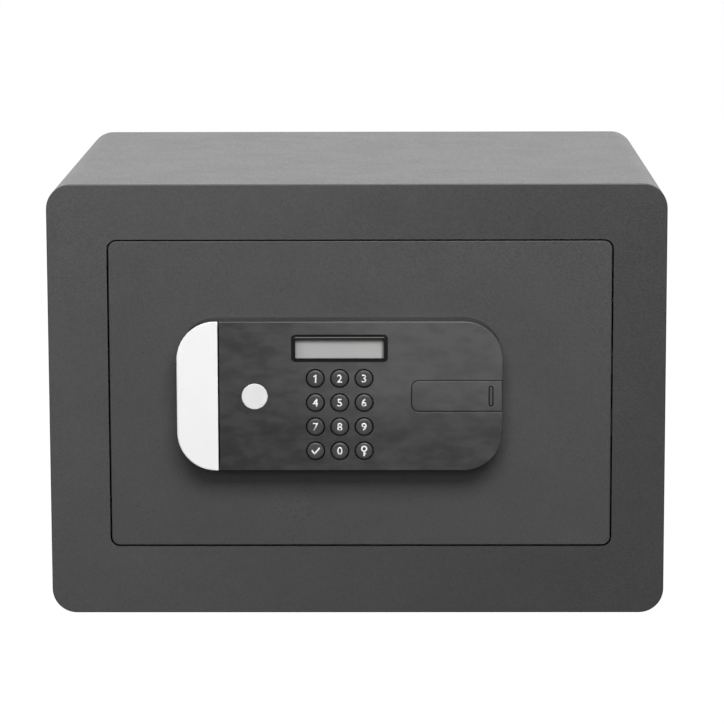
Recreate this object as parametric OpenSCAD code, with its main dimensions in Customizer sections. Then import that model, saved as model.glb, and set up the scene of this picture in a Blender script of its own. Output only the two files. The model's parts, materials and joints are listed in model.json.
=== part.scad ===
// Electronic safe: a folded steel cabinet with a flush hinged door, a bolt work driven by a gear
// motor, and a keypad housing whose sliding cover hides the emergency key lock.
// Millimetres. +X to the right, +Y to the back, +Z up. The origin is the middle of the base.

/* [Cabinet] */
// Width of the cabinet
body_w = 350; // [335:1:420]
// Height of the cabinet
body_h = 247; // [240:1:320]
// Depth of the cabinet, from the front frame to the back panel
body_d = 300; // [240:1:400]
// Sheet thickness of the folded shell
shell_t = 3; // [2:0.5:4]
// Outer radius of the four long edges
corner_r = 14; // [10:1:20]
// Thickness of the front frame plate
frame_t = 4; // [3:0.5:5]
// Thickness of the back panel
back_t = 3; // [2:0.5:5]
// Sheet thickness of the door jamb behind the front frame
jamb_t = 3; // [2:0.5:4]
// Depth of the door jamb
jamb_d = 32; // [30:1:45]
// Thickness of the floor mat
mat_t = 3; // [2:0.5:5]

/* [Anchor holes] */
// Radius of the anchor bolt holes
anchor_r = 6; // [4:0.5:8]
// Distance between the base holes from side to side
anchor_span_x = 220; // [160:1:260]
// Distance between the base holes from front to back
anchor_span_y = 140; // [80:1:160]
// Distance between the two holes in the back panel
back_span_x = 180; // [120:1:240]
// Height of the back holes above the base
back_hole_z = 175; // [80:1:200]

/* [Door] */
// Width of the door plate
door_w = 284.4; // [276:0.1:292]
// Height of the door plate
door_h = 175; // [172:0.1:190]
// Thickness of the door plate
door_t = 8; // [6:0.5:10]
// Gap between the door and the front frame
door_gap = 0.9; // [0.6:0.1:1.5]
// Corner radius of the door plate
door_r = 4.6; // [3:0.1:5]
// How far the door sits to the right of the cabinet's middle
door_shift_x = 1.85; // [0:0.05:4]
// How far the door sits above the cabinet's middle
door_shift_z = 3.7; // [0:0.1:8]

/* [Hinge] */
// Radius of the hinge pins
pin_r = 4; // [3:0.1:4.2]
// Distance from the door's hinge edge to the pin's axis
pivot_in = 16; // [15:0.5:20]
// Length of each hinge knuckle
knuckle_len = 18; // [12:1:24]

/* [Bolt work] */
// Radius of the locking bolts
bolt_r = 10; // [8:0.5:11]
// Distance between the two locking bolts
bolt_spread = 104; // [98:1:112]
// How far the bolts travel
bolt_throw = 18; // [12:0.5:20]
// Depth of the mechanism case behind the door plate
case_d = 36; // [34:1:44]
// Sheet thickness of the mechanism case and the inner cover
case_t = 1.5; // [1:0.1:2]
// Module of the rack and the pinion
gear_m = 1; // [0.8:0.1:1.1]
// Number of teeth on the pinion
gear_teeth = 16; // [14:1:18]

/* [Keypad housing] */
// Width of the keypad housing
housing_w = 183.6; // [180:0.2:192]
// Height of the keypad housing
housing_h = 85.2; // [83:0.2:92]
// How far the housing stands out from the door
housing_d = 16; // [15:0.5:20]
// Corner radius of the housing's outline
housing_r = 22; // [14:0.5:26]
// Thickness of the fascia plate
fascia_t = 3; // [2.5:0.1:4]
// Width of the bright bevel along the fascia's edge
fascia_bevel = 0.5; // [0.3:0.1:1.2]
// Width of the light end cap
end_cap_w = 23.6; // [18:0.2:28]
// How far the housing sits to the left of the door's middle
housing_shift_x = 11.45; // [8:0.05:15]
// How far the housing sits above the door's middle
housing_shift_z = 1.4; // [0:0.1:3]
// Radius of the blank badge disc
badge_r = 7.3; // [5:0.1:9]

/* [Display] */
// Width of the display window
window_w = 49.8; // [44:0.1:52]
// Height of the display window
window_h = 11.2; // [9:0.1:12.4]
// Width of the bezel around the window
bezel_w = 1.9; // [1.2:0.1:2.1]

/* [Keys] */
// Diameter of a key
key_d = 9.4; // [8:0.1:10]
// Running gap around a key
key_gap = 0.5; // [0.3:0.05:0.7]
// Distance between key columns
key_pitch_x = 13.7; // [13.6:0.1:15]
// Distance between key rows
key_pitch_z = 13.8; // [13.6:0.1:14.2]
// How far a key stands out from the fascia
key_proud = 0.7; // [0.4:0.1:1.5]
// How far a key travels
key_travel = 1.2; // [0.6:0.1:1.4]

/* [Key lock] */
// Length of the sliding cover over the key lock
cover_len = 51.2; // [50:0.2:56]
// Height of the sliding cover
cover_h = 17.4; // [17:0.2:20]
// Radius of the lock cylinder
cylinder_r = 8.5; // [7.5:0.1:8.8]

/* [Battery bay] */
// Diameter of a battery cell
cell_d = 14.2; // [13:0.1:14.5]
// Length of a battery cell with its contact nub
cell_len = 50.3; // [48:0.1:52]

/* [Hidden] */

$fn = 64;

steel_paint = "dimgray";
inner_paint = "slategray";
bright_steel = "silver";
black_plastic = "#262626";
light_plastic = "whitesmoke";
board_green = "darkgreen";
brass = "goldenrod";

// Clearances, each named once
over = 1;             // how far a cut runs past a face
run_fit = 0.05;       // radial clearance of a shaft in its bore
slide_fit = 0.3;      // clearance of a piece that slides or sits beside another
press_gap = 0.1;      // clearance of a trim piece in its seat
bore_fit = 0.2;       // radial clearance of a fixed round piece in its hole
screw_fit = 0.55;     // radial clearance of a screw in a plate

// The cabinet's planes
front_y = -body_d / 2;
back_y = body_d / 2;
frame_back = front_y + frame_t;
jamb_back = frame_back + jamb_d;

// The door plate's edges
door_cx = door_shift_x;
door_cz = body_h / 2 + door_shift_z;
door_x0 = door_cx - door_w / 2;
door_x1 = door_cx + door_w / 2;
door_z0 = door_cz - door_h / 2;
door_z1 = door_cz + door_h / 2;
door_back = front_y + door_t;
door_bevel = 0.4;
sheet_bevel = 0.6;

// The hinge axis. The door's front corner swings into the frame's hinge side as it opens, so
// that side of the frame is undercut and the jamb stands back by the corner's reach.
pin_seat_back = pin_r + 2;
knuckle_r = pin_r + 3;
bush_r = pin_r + 1;
pivot_x = door_x0 + pivot_in;
pivot_y = door_back + pin_seat_back;
pivot_back = pivot_y - front_y;
swing_r = sqrt(pivot_in * pivot_in + pivot_back * pivot_back);
swing_clear = 1.2;
function swing_reach(depth) = sqrt(swing_r * swing_r - pow(pivot_back - depth, 2)) - pivot_in;
hinge_rebate = swing_r - pivot_in + swing_clear;
undercut = swing_reach(frame_t) + swing_clear;
lip_t = 1;
lip_reach = door_gap + (undercut - door_gap) * lip_t / frame_t;

// The jamb's inner faces
jamb_lip = 0.5;
jamb_rise = 3;
stop_out = 18;
stop_half = 8;
stop_lap = 2.6;
stop_t = 3;
jamb_x0 = door_x0 - hinge_rebate;
jamb_x1 = door_x1 + door_gap + jamb_lip;
jamb_z0 = door_z0 - door_gap - jamb_rise;
jamb_z1 = door_z1 + door_gap + jamb_rise;

// The mechanism case on the back of the door
case_side = 5.65;
case_x0 = pivot_x + knuckle_r + 6;
case_x1 = door_x1 - case_side;
case_z0 = door_z0 + 5;
case_z1 = door_z1 - 5;
case_back = door_back + case_d;
cover_face = case_back + case_t;
case_r = 4;
post_r = 4;
post_in = case_t + post_r - 0.5;
cover_screw_len = 8;
field_t = 0.8;
field_in_x = 5;
field_in_z = 12;
field_r = 6;
post_xs = [case_x0 + post_in, (case_x0 + case_x1) / 2, case_x1 - post_in];
post_zs = [case_z0 + post_in, case_z1 - post_in];

// The locking bolts and the carriage that carries them
bolt_y = door_back + bolt_r + 4;
bolt_zs = [door_cz - bolt_spread / 2, door_cz + bolt_spread / 2];
bolt_tip_x = case_x1 + 0.4;
bolt_len = 50.4;
bolt_root_x = bolt_tip_x - bolt_len;
bolt_bevel = 1.5;
bolt_thread = 15;
bolt_head_t = 3.5;
web_t = 3;
web_x = bolt_root_x - web_t;
web_y0 = door_back + 2;
web_y1 = bolt_y + bolt_r + 2;
web_overhang = 13;
bar_t = 3;
bar_y0 = bolt_y + bolt_r - 3;
bar_y1 = bar_y0 + bar_t;
guide_x = web_x + web_t + bolt_throw + 5;
guide_t = 3;
guide_end = 7;
guide_foot = 14;
guide_foot_t = 2;
strike_gap = 1;

// The keypad housing's edges
housing_cx = door_cx - housing_shift_x;
housing_cz = door_cz + housing_shift_z;
housing_x0 = housing_cx - housing_w / 2;
housing_x1 = housing_cx + housing_w / 2;
housing_front = front_y - housing_d;
tub_front = housing_front + fascia_t;
seam_x = housing_x0 + end_cap_w;
seam_gap = 0.9;
tub_wall = 4;
tub_floor = 2;
tub_step = 0.5;
boss_out_x = 24;
boss_out_z = 32;
rib_t = 1.2;
rib_drop = 2;
low_rib_h = 2.4;
left_rib_outs = [71, 56];
right_rib_outs = [50, 66];
low_rib_x = 4;
low_rib_zs = [0, 18];
floor_y = front_y - tub_floor;

// The sliding cover and the lock below it
cover_x0 = housing_x1 - cover_len;
cover_cz = housing_cz + 0.1;
cover_r = 4;
cover_travel = 32;
cover_gap = 0.3;
cover_end = 0.6;
cover_bevel = 0.4;
grip_in = 6.6;
grip_w = 2.9;
grip_h = 11.8;
grip_deep = 1;
grip_groove = 0.8;
grip_proud = 0.5;
tongue_t = 1.4;
tongue_w = 1.5;
tongue_y0 = tub_front + 0.15;
tongue_y1 = tongue_y0 + tongue_t;
channel_y = tongue_y1 + slide_fit;
lock_in = 19;
lock_x = cover_x0 + lock_in;
lock_z = cover_cz;
lock_rim_r = cylinder_r + 1.5;
plug_r = 6;
cylinder_back = door_back + 13;
nut_t = 4;
nut_across = 24;
cam_nut_across = 9;
cam_nut_t = 2.6;
cam_stud_r = 2.5;
key_slot_w = 1.8;
key_slot_h = 8;
key_slot_deep = 22;
cam_t = 2.5;
cam_y0 = cylinder_back + slide_fit;
cam_y1 = cam_y0 + cam_t;
cam_len = 18;
cam_half = 3;
cam_rest = 60;        // degrees from upright, towards the bolts
lug_r = 2.5;
lug_x = lock_x - 13.8;
lug_z = lock_z + 12;

// The gear drive: a pinion over the rack on the carriage's upper edge
gear_r = gear_m * gear_teeth / 2;
gear_x = lock_x - 6;
rack_rise = 29;
rack_z = lock_z + rack_rise;
gear_z = rack_z + gear_r;
gear_t = 5;
gear_y0 = (bar_y0 + bar_y1) / 2 - gear_t / 2;
gear_y1 = gear_y0 + gear_t;
shaft_r = 3;
gearbox_w = 24;
gearbox_r = 2;
gearbox_lid = 3;
ear_w = 10;
ear_t = 1.5;
ear_reach = 6;
ear_screw_r = 1.5;
bell_len = 4;
bell_in = 0.6;
gearbox_x0 = gear_x - gearbox_w / 2;
gearbox_back = gear_y0 - 2;
ear_zs = [for (side = [-1, 1]) gear_z + side * (gearbox_w + ear_reach) / 2];
motor_r = 9;
motor_len = 26;
motor_y = door_back + motor_r + 0.5;
pressure = 20;        // pressure angle of the teeth, degrees
backlash = 0.12;
rack_head = 0.9 * gear_m;
rack_foot = 1.25 * gear_m;
tooth_pitch = PI * gear_m;

// The carriage bar, and the posts that it slides on
bar_x0 = gear_x - bolt_throw - 6;
bar_drop = 32;
bar_z0 = lock_z - bar_drop;
rack_x1 = gear_x + 6;
slot_r = 3.2;
slot_pin_r = 3;
post_lead = 4;
post_web = 12;
post_drop = 24;
post_rise = 19;
posts = [
    [lock_x - post_lead, lock_z - post_drop], [web_x - post_web, lock_z - post_drop],
    [web_x - post_web, lock_z + post_rise]
];
guide_post_r = 4.5;
guide_head_r = 5.5;
guide_head_t = 2;

// The key field and the display
key_cx = housing_cx;
key_cz = housing_cz - 10.4;
key_xs = [for (i = [-1 : 1]) key_cx + i * key_pitch_x];
key_zs = [for (i = [1.5, 0.5, -0.5, -1.5]) key_cz + i * key_pitch_z];
key_flange_r = key_d / 2 + key_gap + 0.7;
key_flange_y = tub_front + press_gap;
key_flange_t = 1;
key_rim_w = 1.3;
key_rim_h = 0.55;
stem_r = 2.5;
stem_len = 1.4;
stem_end = key_flange_y + key_flange_t + stem_len;
mat_post_y = stem_end + key_travel + 0.2;
mat_post_t = 0.4;
mat_y0 = mat_post_y + mat_post_t;
mat_sheet_t = 1;
board_y0 = mat_y0 + mat_sheet_t;
board_t = 1.6;
board_w = 56;
board_h = 72;
display_cx = housing_cx;
display_rise = 27.4;
display_cz = housing_cz + display_rise;
bezel_proud = 0.6;
bezel_r = 2.1;
cut_bevel = 0.3;
bezel_lip = 0.9;
bezel_sink = 0.2;
lens_y = housing_front + 1.5;
lens_t = 1;
window_r = 0.6;
glass_edge = 0.6;
module_rim = 2;
module_t = 2.5;
screw_out_x = 35.5;
screw_out_z = 20;
screw_seat = 3;
housing_screw_r = 1.65;
housing_head_r = 3.5;
housing_head_t = 2.4;
screw_boss_r = 4;
board_boss_r = 2.5;
screw_xs = [housing_cx - screw_out_x, housing_cx + screw_out_x];
screw_zs = [housing_cz - screw_out_z, housing_cz + screw_out_z];
badge_out = 47.9;
badge_x = housing_cx - badge_out;
badge_deep = 1;

// The control board and the cable
cable_r = 2.5;
cable_drop = 22.4;
cable_x = housing_cx - 10;
cable_z = housing_cz - cable_drop;
cable_bend = 6;
socket_w = 10;
socket_h = 8;
socket_t = 2.4;
control_w = 44;
control_h = 44;
control_below = 2;
control_x = cable_x + 6;
control_z = cable_z - cable_r - control_below - control_h / 2;
control_y = door_back + 10;
standoff_in = 4;
standoff_xs = [control_x - control_w / 2 + standoff_in, control_x + control_w / 2 - standoff_in];
standoff_zs = [control_z - control_h / 2 + standoff_in, control_z + control_h / 2 - standoff_in];
switch_w = 6;
switch_h = 3.5;
chip_side = 12;
chip_h = 1.6;
chip_x = 14;
chip_z = 9;
capacitor_x = 8;
capacitor_z = 17;
capacitor_len = 9;
capacitor_r = 4;
connector_w = 10;
connector_d = 8;
connector_h = 7;
connector_z = control_z + 9;
grommet_r = 7;

// The two leads: one from the motor's end, one from the battery tray's wall, each with a plug
lead_r = 1;
lead_bend = 5;
plug_w = 8;
plug_y = control_y + board_t + connector_d / 2;
motor_plug_out = 5;
motor_plug_rise = 14;
battery_plug_out = 18;
battery_plug_rise = 13;
motor_plug_x = control_x + motor_plug_out;
motor_plug_z = control_z + motor_plug_rise;
battery_plug_x = control_x - battery_plug_out;
battery_plug_z = control_z + battery_plug_rise;

// The battery bay
cell_pitch = cell_d + 0.6;
bay_x0 = case_x0 + 8;
bay_wall = 1.5;
bay_w = cell_len + 2 * bay_wall + 5;
bay_h = 4 * cell_pitch + 2 * bay_wall;
bay_cz = door_cz + 0.4;
bay_y0 = case_back - cell_d - bay_wall - 4.2;
cell_y = bay_y0 + bay_wall + cell_d / 2;
bay_lip = 1;
lid_w = bay_w - 2 * bay_wall + 2 * bay_lip;
lid_h = bay_h - 2 * bay_wall + 2 * bay_lip;
lid_r = 2;
lid_t = 1.6;
battery_lead_y = bay_y0 + bay_wall + 0.4;
battery_lead_z = control_z + control_h / 2 + 6;
cradle_t = 2;
cradle_out = 15;
reset_x = control_x + 14;
reset_z = control_z - 8;

// The anchor holes
anchor_y = 20;

// Outlines in the X and Z plane, and the ways to thicken them

// A rectangle with round corners, centred on a point
module round_rect(w, h, r, cx = 0, cz = 0) {
    translate([cx, cz]) {
        square([w - 2 * r, h], center = true);
        square([w, h - 2 * r], center = true);
        for (sx = [-1, 1], sz = [-1, 1])
            translate([sx * (w / 2 - r), sz * (h / 2 - r)]) circle(r);
    }
}

// Thickens an outline from y0 to y1
module slab(y0, y1) {
    translate([0, y1, 0]) rotate([90, 0, 0]) linear_extrude(y1 - y0) children();
}

// A round bar along Y
module bar_y(r, y0, y1, x, z) {
    translate([x, y1, z]) rotate([90, 0, 0]) cylinder(r = r, h = y1 - y0);
}

// A round bar along X
module bar_x(r, x0, x1, y, z) {
    translate([x0, y, z]) rotate([0, 90, 0]) cylinder(r = r, h = x1 - x0);
}

// A round bar along Z
module bar_z(r, z0, z1, x, y) {
    translate([x, y, z0]) cylinder(r = r, h = z1 - z0);
}

// A block between two corners
module block(low, high) {
    translate(low) cube(high - low);
}

// A rounded rectangle at y1 that grows or shrinks on its way to y0, on either side of it
module tapered(w, h, r, y0, y1, grow, cx, cz) {
    near_r = y0 < y1 ? r + grow : r;
    far_r = y0 < y1 ? r : r + grow;
    for (sx = [-1, 1], sz = [-1, 1])
        translate([cx + sx * (w / 2 - r), min(y0, y1), cz + sz * (h / 2 - r)]) rotate([-90, 0, 0])
            cylinder(r1 = near_r, r2 = far_r, h = abs(y1 - y0));
    translate([cx - w / 2 + r, 0, cz]) rotate([90, 0, 90]) linear_extrude(w - 2 * r)
        polygon([[y0, h / 2 + grow], [y1, h / 2], [y1, -h / 2], [y0, -h / 2 - grow]]);
    translate([cx, 0, cz - h / 2 + r]) linear_extrude(h - 2 * r)
        polygon([[-w / 2 - grow, y0], [-w / 2, y1], [w / 2, y1], [w / 2 + grow, y0]]);
}

// A plate with round corners, bevelled all round at its face y0
module bevelled_plate(w, h, r, y0, y1, bevel, cx, cz) {
    inner_y = y0 < y1 ? y0 + bevel : y0 - bevel;
    slab(min(inner_y, y1), max(inner_y, y1)) round_rect(w, h, r, cx, cz);
    tapered(w, h, r, y0, inner_y, -bevel, cx, cz);
}

// The cutter of a hole with round corners, flared at the face y0 in front
module flared_hole(w, h, r, y0, y1, bevel, cx, cz) {
    slab(y0 - over, y1 + over) round_rect(w, h, r, cx, cz);
    tapered(w, h, r, y0 - bevel, y0 + bevel, 2 * bevel, cx, cz);
}

// The cutter of a round hole along Y, flared at the face y0 in front
module flared_bore(r, y0, y1, bevel, x, z) {
    bar_y(r, y0 - over, y1 + over, x, z);
    translate([x, y0 - bevel, z]) rotate([-90, 0, 0]) cylinder(r1 = r + 2 * bevel, r2 = r, h = 2 * bevel);
}

// A hexagon nut along Y
module hex_nut(across, hole_r, y0, y1, x, z) {
    difference() {
        translate([x, y1, z]) rotate([90, 0, 0]) cylinder(r = across / sqrt(3), h = y1 - y0, $fn = 6);
        bar_y(hole_r, y0 - over, y1 + over, x, z);
    }
}

// The cabinet

module cabinet_shell() {
    color(steel_paint) difference() {
        slab(frame_back, back_y - back_t) round_rect(body_w, body_h, corner_r, 0, body_h / 2);
        slab(frame_back - over, back_y - back_t + over)
            round_rect(body_w - 2 * shell_t, body_h - 2 * shell_t, corner_r - shell_t, 0, body_h / 2);
        for (sx = [-1, 1], sy = [-1, 1])
            bar_z(anchor_r, -over, shell_t + over, sx * anchor_span_x / 2, anchor_y + sy * anchor_span_y / 2);
    }
}

// The plate round the door, undercut on the hinge side where the door's corner swings in
module front_frame() {
    color(steel_paint) difference() {
        bevelled_plate(body_w, body_h, corner_r, front_y, frame_back, sheet_bevel, 0, body_h / 2);
        slab(front_y - over, frame_back + over)
            round_rect(door_w + 2 * door_gap, door_h + 2 * door_gap, door_r + door_gap, door_cx, door_cz);
        translate([0, 0, door_z0 - door_gap]) linear_extrude(door_h + 2 * door_gap)
            polygon([
                [door_x0 + door_r, front_y + lip_t], [door_x0 - lip_reach, front_y + lip_t],
                [door_x0 - undercut, frame_back], [door_x0 - undercut, frame_back + over],
                [door_x0 + door_r, frame_back + over]
            ]);
    }
}

module back_panel() {
    color(steel_paint) difference() {
        bevelled_plate(body_w, body_h, corner_r, back_y, back_y - back_t, sheet_bevel, 0, body_h / 2);
        for (sx = [-1, 1])
            bar_y(anchor_r, back_y - back_t - over, back_y + over, sx * back_span_x / 2, back_hole_z);
    }
}

// The return behind the front frame: it holds the hinge pins, and the bolts shoot through it
module door_jamb() {
    color(steel_paint) difference() {
        union() {
            difference() {
                block([jamb_x0 - jamb_t, frame_back, jamb_z0 - jamb_t],
                      [jamb_x1 + jamb_t, jamb_back, jamb_z1 + jamb_t]);
                block([jamb_x0, frame_back - over, jamb_z0], [jamb_x1, jamb_back + over, jamb_z1]);
            }
            for (sz = [-1, 1]) translate([0, door_back + slide_fit, door_cz + sz * stop_out])
                block([door_x1 - stop_lap, 0, -stop_half], [jamb_x1 + jamb_t / 2, stop_t, stop_half]);
        }
        for (z = bolt_zs) bar_x(bolt_r + strike_gap, jamb_x1 - over, jamb_x1 + jamb_t + over, bolt_y, z);
        bar_z(pin_r + run_fit, jamb_z0 - jamb_t - over, jamb_z1 + jamb_t + over, pivot_x, pivot_y);
    }
}

module hinge_pins() {
    head_t = 2.5;
    head_r = pin_r + 2;
    reach = knuckle_len - 2;
    top = jamb_z1 + jamb_t;
    bottom = jamb_z0 - jamb_t;
    color(bright_steel) {
        bar_z(pin_r, door_z1 - reach, top, pivot_x, pivot_y);
        bar_z(head_r, top, top + head_t, pivot_x, pivot_y);
        bar_z(pin_r, bottom, door_z0 + reach, pivot_x, pivot_y);
        bar_z(head_r, bottom - head_t, bottom, pivot_x, pivot_y);
    }
}

module floor_mat() {
    mat_w = body_w - 2 * corner_r - 1;
    color("#303034") difference() {
        block([-mat_w / 2, jamb_back + 2, shell_t], [mat_w / 2, back_y - back_t - 1, shell_t + mat_t]);
        for (sx = [-1, 1], sy = [-1, 1])
            translate([sx * anchor_span_x / 2, anchor_y + sy * anchor_span_y / 2, 0])
                bar_z(anchor_r + 3, 0, shell_t + mat_t + over, 0, 0);
    }
}

// The door and its bolt work

module door_plate() {
    color(steel_paint) difference() {
        bevelled_plate(door_w, door_h, door_r, front_y, door_back, door_bevel, door_cx, door_cz);
        bar_y(grommet_r + run_fit, front_y - over, door_back + over, cable_x, cable_z);
        bar_y(cylinder_r + bore_fit, front_y - over, door_back + over, lock_x, lock_z);
        for (x = screw_xs, z = screw_zs)
            bar_y(housing_screw_r + screw_fit, front_y - over, door_back + over, x, z);
    }
}

// Round knuckles with a flat foot that is welded to the back of the door plate
module hinge_knuckles() {
    color(steel_paint) for (z = [door_z0, door_z1 - knuckle_len]) difference() {
        union() {
            bar_z(knuckle_r, z, z + knuckle_len, pivot_x, pivot_y);
            block([pivot_x - knuckle_r, door_back, z], [pivot_x + knuckle_r, pivot_y, z + knuckle_len]);
        }
        block([pivot_x - 2 * knuckle_r, front_y, z - over],
              [pivot_x + 2 * knuckle_r, door_back, z + knuckle_len + over]);
        bar_z(bush_r + run_fit, z - over, z + knuckle_len + over, pivot_x, pivot_y);
    }
}

// Shouldered bushes: the lower one carries the door on the jamb
module hinge_bushes() {
    color(black_plastic) {
        difference() {
            union() {
                bar_z(bush_r, door_z0, door_z0 + knuckle_len, pivot_x, pivot_y);
                bar_z(knuckle_r, jamb_z0 + slide_fit, door_z0, pivot_x, pivot_y);
            }
            bar_z(pin_r + run_fit, jamb_z0 - over, door_z0 + knuckle_len + over, pivot_x, pivot_y);
        }
        difference() {
            union() {
                bar_z(bush_r, door_z1 - knuckle_len, door_z1, pivot_x, pivot_y);
                bar_z(knuckle_r, door_z1, jamb_z1 - slide_fit, pivot_x, pivot_y);
            }
            bar_z(pin_r + run_fit, door_z1 - knuckle_len - over, jamb_z1 + over, pivot_x, pivot_y);
        }
    }
}

// A folded ring with six screw posts, open to the bolts on the lock side
module mechanism_case() {
    w = case_x1 - case_x0;
    h = case_z1 - case_z0;
    cx = (case_x0 + case_x1) / 2;
    cz = (case_z0 + case_z1) / 2;
    color(inner_paint) difference() {
        union() {
            difference() {
                slab(door_back, case_back) round_rect(w, h, case_r, cx, cz);
                slab(door_back - over, case_back + over)
                    round_rect(w - 2 * case_t, h - 2 * case_t, case_r - case_t, cx, cz);
            }
            for (x = post_xs, z = post_zs) bar_y(post_r, door_back, case_back, x, z);
        }
        for (z = bolt_zs) bar_x(bolt_r + slide_fit, case_x1 - 2 * case_t, case_x1 + over, bolt_y, z);
        for (x = post_xs, z = post_zs) bar_y(1.6, case_back - cover_screw_len - 4, case_back + over, x, z);
    }
}

module inner_cover() {
    cx = (case_x0 + case_x1) / 2;
    cz = (case_z0 + case_z1) / 2;
    color(black_plastic) difference() {
        union() {
            slab(case_back, cover_face) round_rect(case_x1 - case_x0, case_z1 - case_z0, case_r, cx, cz);
            bevelled_plate(case_x1 - case_x0 - 2 * field_in_x, case_z1 - case_z0 - 2 * field_in_z, field_r,
                cover_face + field_t, case_back, 0.5, cx, cz);
        }
        block([bay_x0 + bay_wall, case_back - over, bay_cz - bay_h / 2 + bay_wall],
              [bay_x0 + bay_w - bay_wall, cover_face + over, bay_cz + bay_h / 2 - bay_wall]);
        slab(cover_face, cover_face + field_t + over) round_rect(
            lid_w + 2 * slide_fit, lid_h + 2 * slide_fit, lid_r + slide_fit, bay_x0 + bay_w / 2, bay_cz);
        bar_y(3.8, case_back - over, cover_face + over, reset_x, reset_z);
        for (x = post_xs, z = post_zs) bar_y(1.8, case_back - over, cover_face + over, x, z);
    }
}

module inner_cover_screws() {
    color(bright_steel) for (x = post_xs, z = post_zs) {
        bar_y(1.55, case_back - cover_screw_len, cover_face, x, z);
        difference() {
            bar_y(3.2, cover_face, cover_face + 1.6, x, z);
            bar_y(1.2, cover_face + 0.6, cover_face + 1.6 + over, x, z, $fn = 6);
        }
    }
}

// The bracket that keeps both bolts level inside the case
module bolt_guide() {
    color(bright_steel) difference() {
        union() {
            block([guide_x, door_back, bolt_zs[0] - bolt_r - guide_end],
                  [guide_x + guide_t, web_y1, bolt_zs[1] + bolt_r + guide_end]);
            block([guide_x, door_back, bolt_zs[0] + bolt_r + guide_end],
                  [guide_x + guide_foot, door_back + guide_foot_t, bolt_zs[1] - bolt_r - guide_end]);
        }
        for (z = bolt_zs) bar_x(bolt_r + slide_fit, guide_x - over, guide_x + guide_t + over, bolt_y, z);
    }
}

module guide_posts() {
    color(bright_steel) for (p = posts) {
        bar_y(guide_post_r, door_back, bar_y0 - slide_fit, p[0], p[1]);
        bar_y(slot_pin_r, bar_y0 - slide_fit, bar_y1 + slide_fit, p[0], p[1]);
    }
}

module guide_screws() {
    color(brass) for (p = posts) difference() {
        bar_y(guide_head_r, bar_y1 + slide_fit, bar_y1 + slide_fit + guide_head_t, p[0], p[1]);
        bar_y(2, bar_y1 + slide_fit + 1, bar_y1 + slide_fit + guide_head_t + over, p[0], p[1], $fn = 6);
    }
}

module motor_gearbox() {
    color(bright_steel) difference() {
        union() {
            slab(door_back, gearbox_back - gearbox_lid)
                round_rect(gearbox_w, gearbox_w, gearbox_r, gear_x, gear_z);
            slab(gearbox_back - gearbox_lid, gearbox_back - 1)
                round_rect(gearbox_w - 2, gearbox_w - 2, gearbox_r, gear_x, gear_z);
            slab(door_back, door_back + ear_t)
                round_rect(ear_w, gearbox_w + 2 * ear_reach, gearbox_r, gear_x, gear_z);
            bar_y(shaft_r + 3, gearbox_back - 1, gearbox_back, gear_x, gear_z);
        }
        bar_y(shaft_r + run_fit, gearbox_back - 8, gearbox_back + over, gear_x, gear_z);
        for (z = ear_zs)
            bar_y(ear_screw_r + press_gap, door_back - over, door_back + ear_t + over, gear_x, z);
    }
}

module gearbox_screws() {
    head_end = door_back + ear_t + 1.8;
    color(bright_steel) for (z = ear_zs) difference() {
        union() {
            bar_y(ear_screw_r, door_back, door_back + ear_t, gear_x, z);
            bar_y(2 * ear_screw_r - 0.2, door_back + ear_t, head_end, gear_x, z);
        }
        bar_y(ear_screw_r - 0.4, head_end - 1, head_end + over, gear_x, z, $fn = 6);
    }
}

module motor_can() {
    can_x0 = gearbox_x0 - motor_len;
    color(bright_steel) {
        bar_x(motor_r, can_x0 + bell_len, gearbox_x0, motor_y, gear_z);
        bar_x(motor_r - bell_in, can_x0, can_x0 + bell_len, motor_y, gear_z);
        bar_x(shaft_r, can_x0 - 2, can_x0, motor_y, gear_z);
    }
}

module control_board() {
    back = control_y + board_t;
    x0 = control_x - control_w / 2;
    z0 = control_z - control_h / 2;
    color(board_green) {
        difference() {
            block([x0, control_y, z0], [x0 + control_w, back, z0 + control_h]);
            for (sx = standoff_xs, sz = standoff_zs) bar_y(1.6, control_y - over, back + over, sx, sz);
        }
        block([cable_x - connector_w / 2, back, connector_z - connector_h],
              [cable_x + connector_w / 2, back + connector_d, connector_z]);
        block([motor_plug_x - plug_w / 2, back, motor_plug_z - connector_h],
              [motor_plug_x + plug_w / 2, back + connector_d, motor_plug_z]);
        block([battery_plug_x - plug_w / 2, back, battery_plug_z - connector_h],
              [battery_plug_x + plug_w / 2, back + connector_d, battery_plug_z]);
        translate([x0 + chip_x, back, z0 + chip_z]) cube([chip_side, chip_h, chip_side]);
        translate([reset_x - switch_w / 2, back, reset_z - switch_w / 2])
            cube([switch_w, switch_h, switch_w]);
        bar_y(capacitor_r, back, back + capacitor_len, x0 + capacitor_x, z0 + capacitor_z);
    }
}

module board_standoffs() {
    color(brass) for (x = standoff_xs, z = standoff_zs) {
        bar_y(2.5, door_back, control_y, x, z);
        bar_y(1.5, control_y, control_y + board_t + 1, x, z);
    }
}

// The battery bay, open towards the inner cover

module battery_tray() {
    mid_x = bay_x0 + bay_w / 2;
    floor_in = bay_y0 + bay_wall;
    half_h = bay_h / 2 - bay_wall;
    color(black_plastic) {
        difference() {
            block([bay_x0, bay_y0, bay_cz - bay_h / 2], [bay_x0 + bay_w, case_back, bay_cz + bay_h / 2]);
            block([bay_x0 + bay_wall, floor_in, bay_cz - half_h],
                  [bay_x0 + bay_w - bay_wall, case_back + over, bay_cz + half_h]);
        }
        for (side = [-1, 1]) translate([mid_x + side * cradle_out, 0, bay_cz]) difference() {
            block([-cradle_t / 2, floor_in, -half_h], [cradle_t / 2, cell_y - cradle_t, half_h]);
            for (i = [-1.5 : 1.5]) bar_x(cell_d / 2 + press_gap, -cradle_t, cradle_t, cell_y, i * cell_pitch);
        }
    }
}

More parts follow.
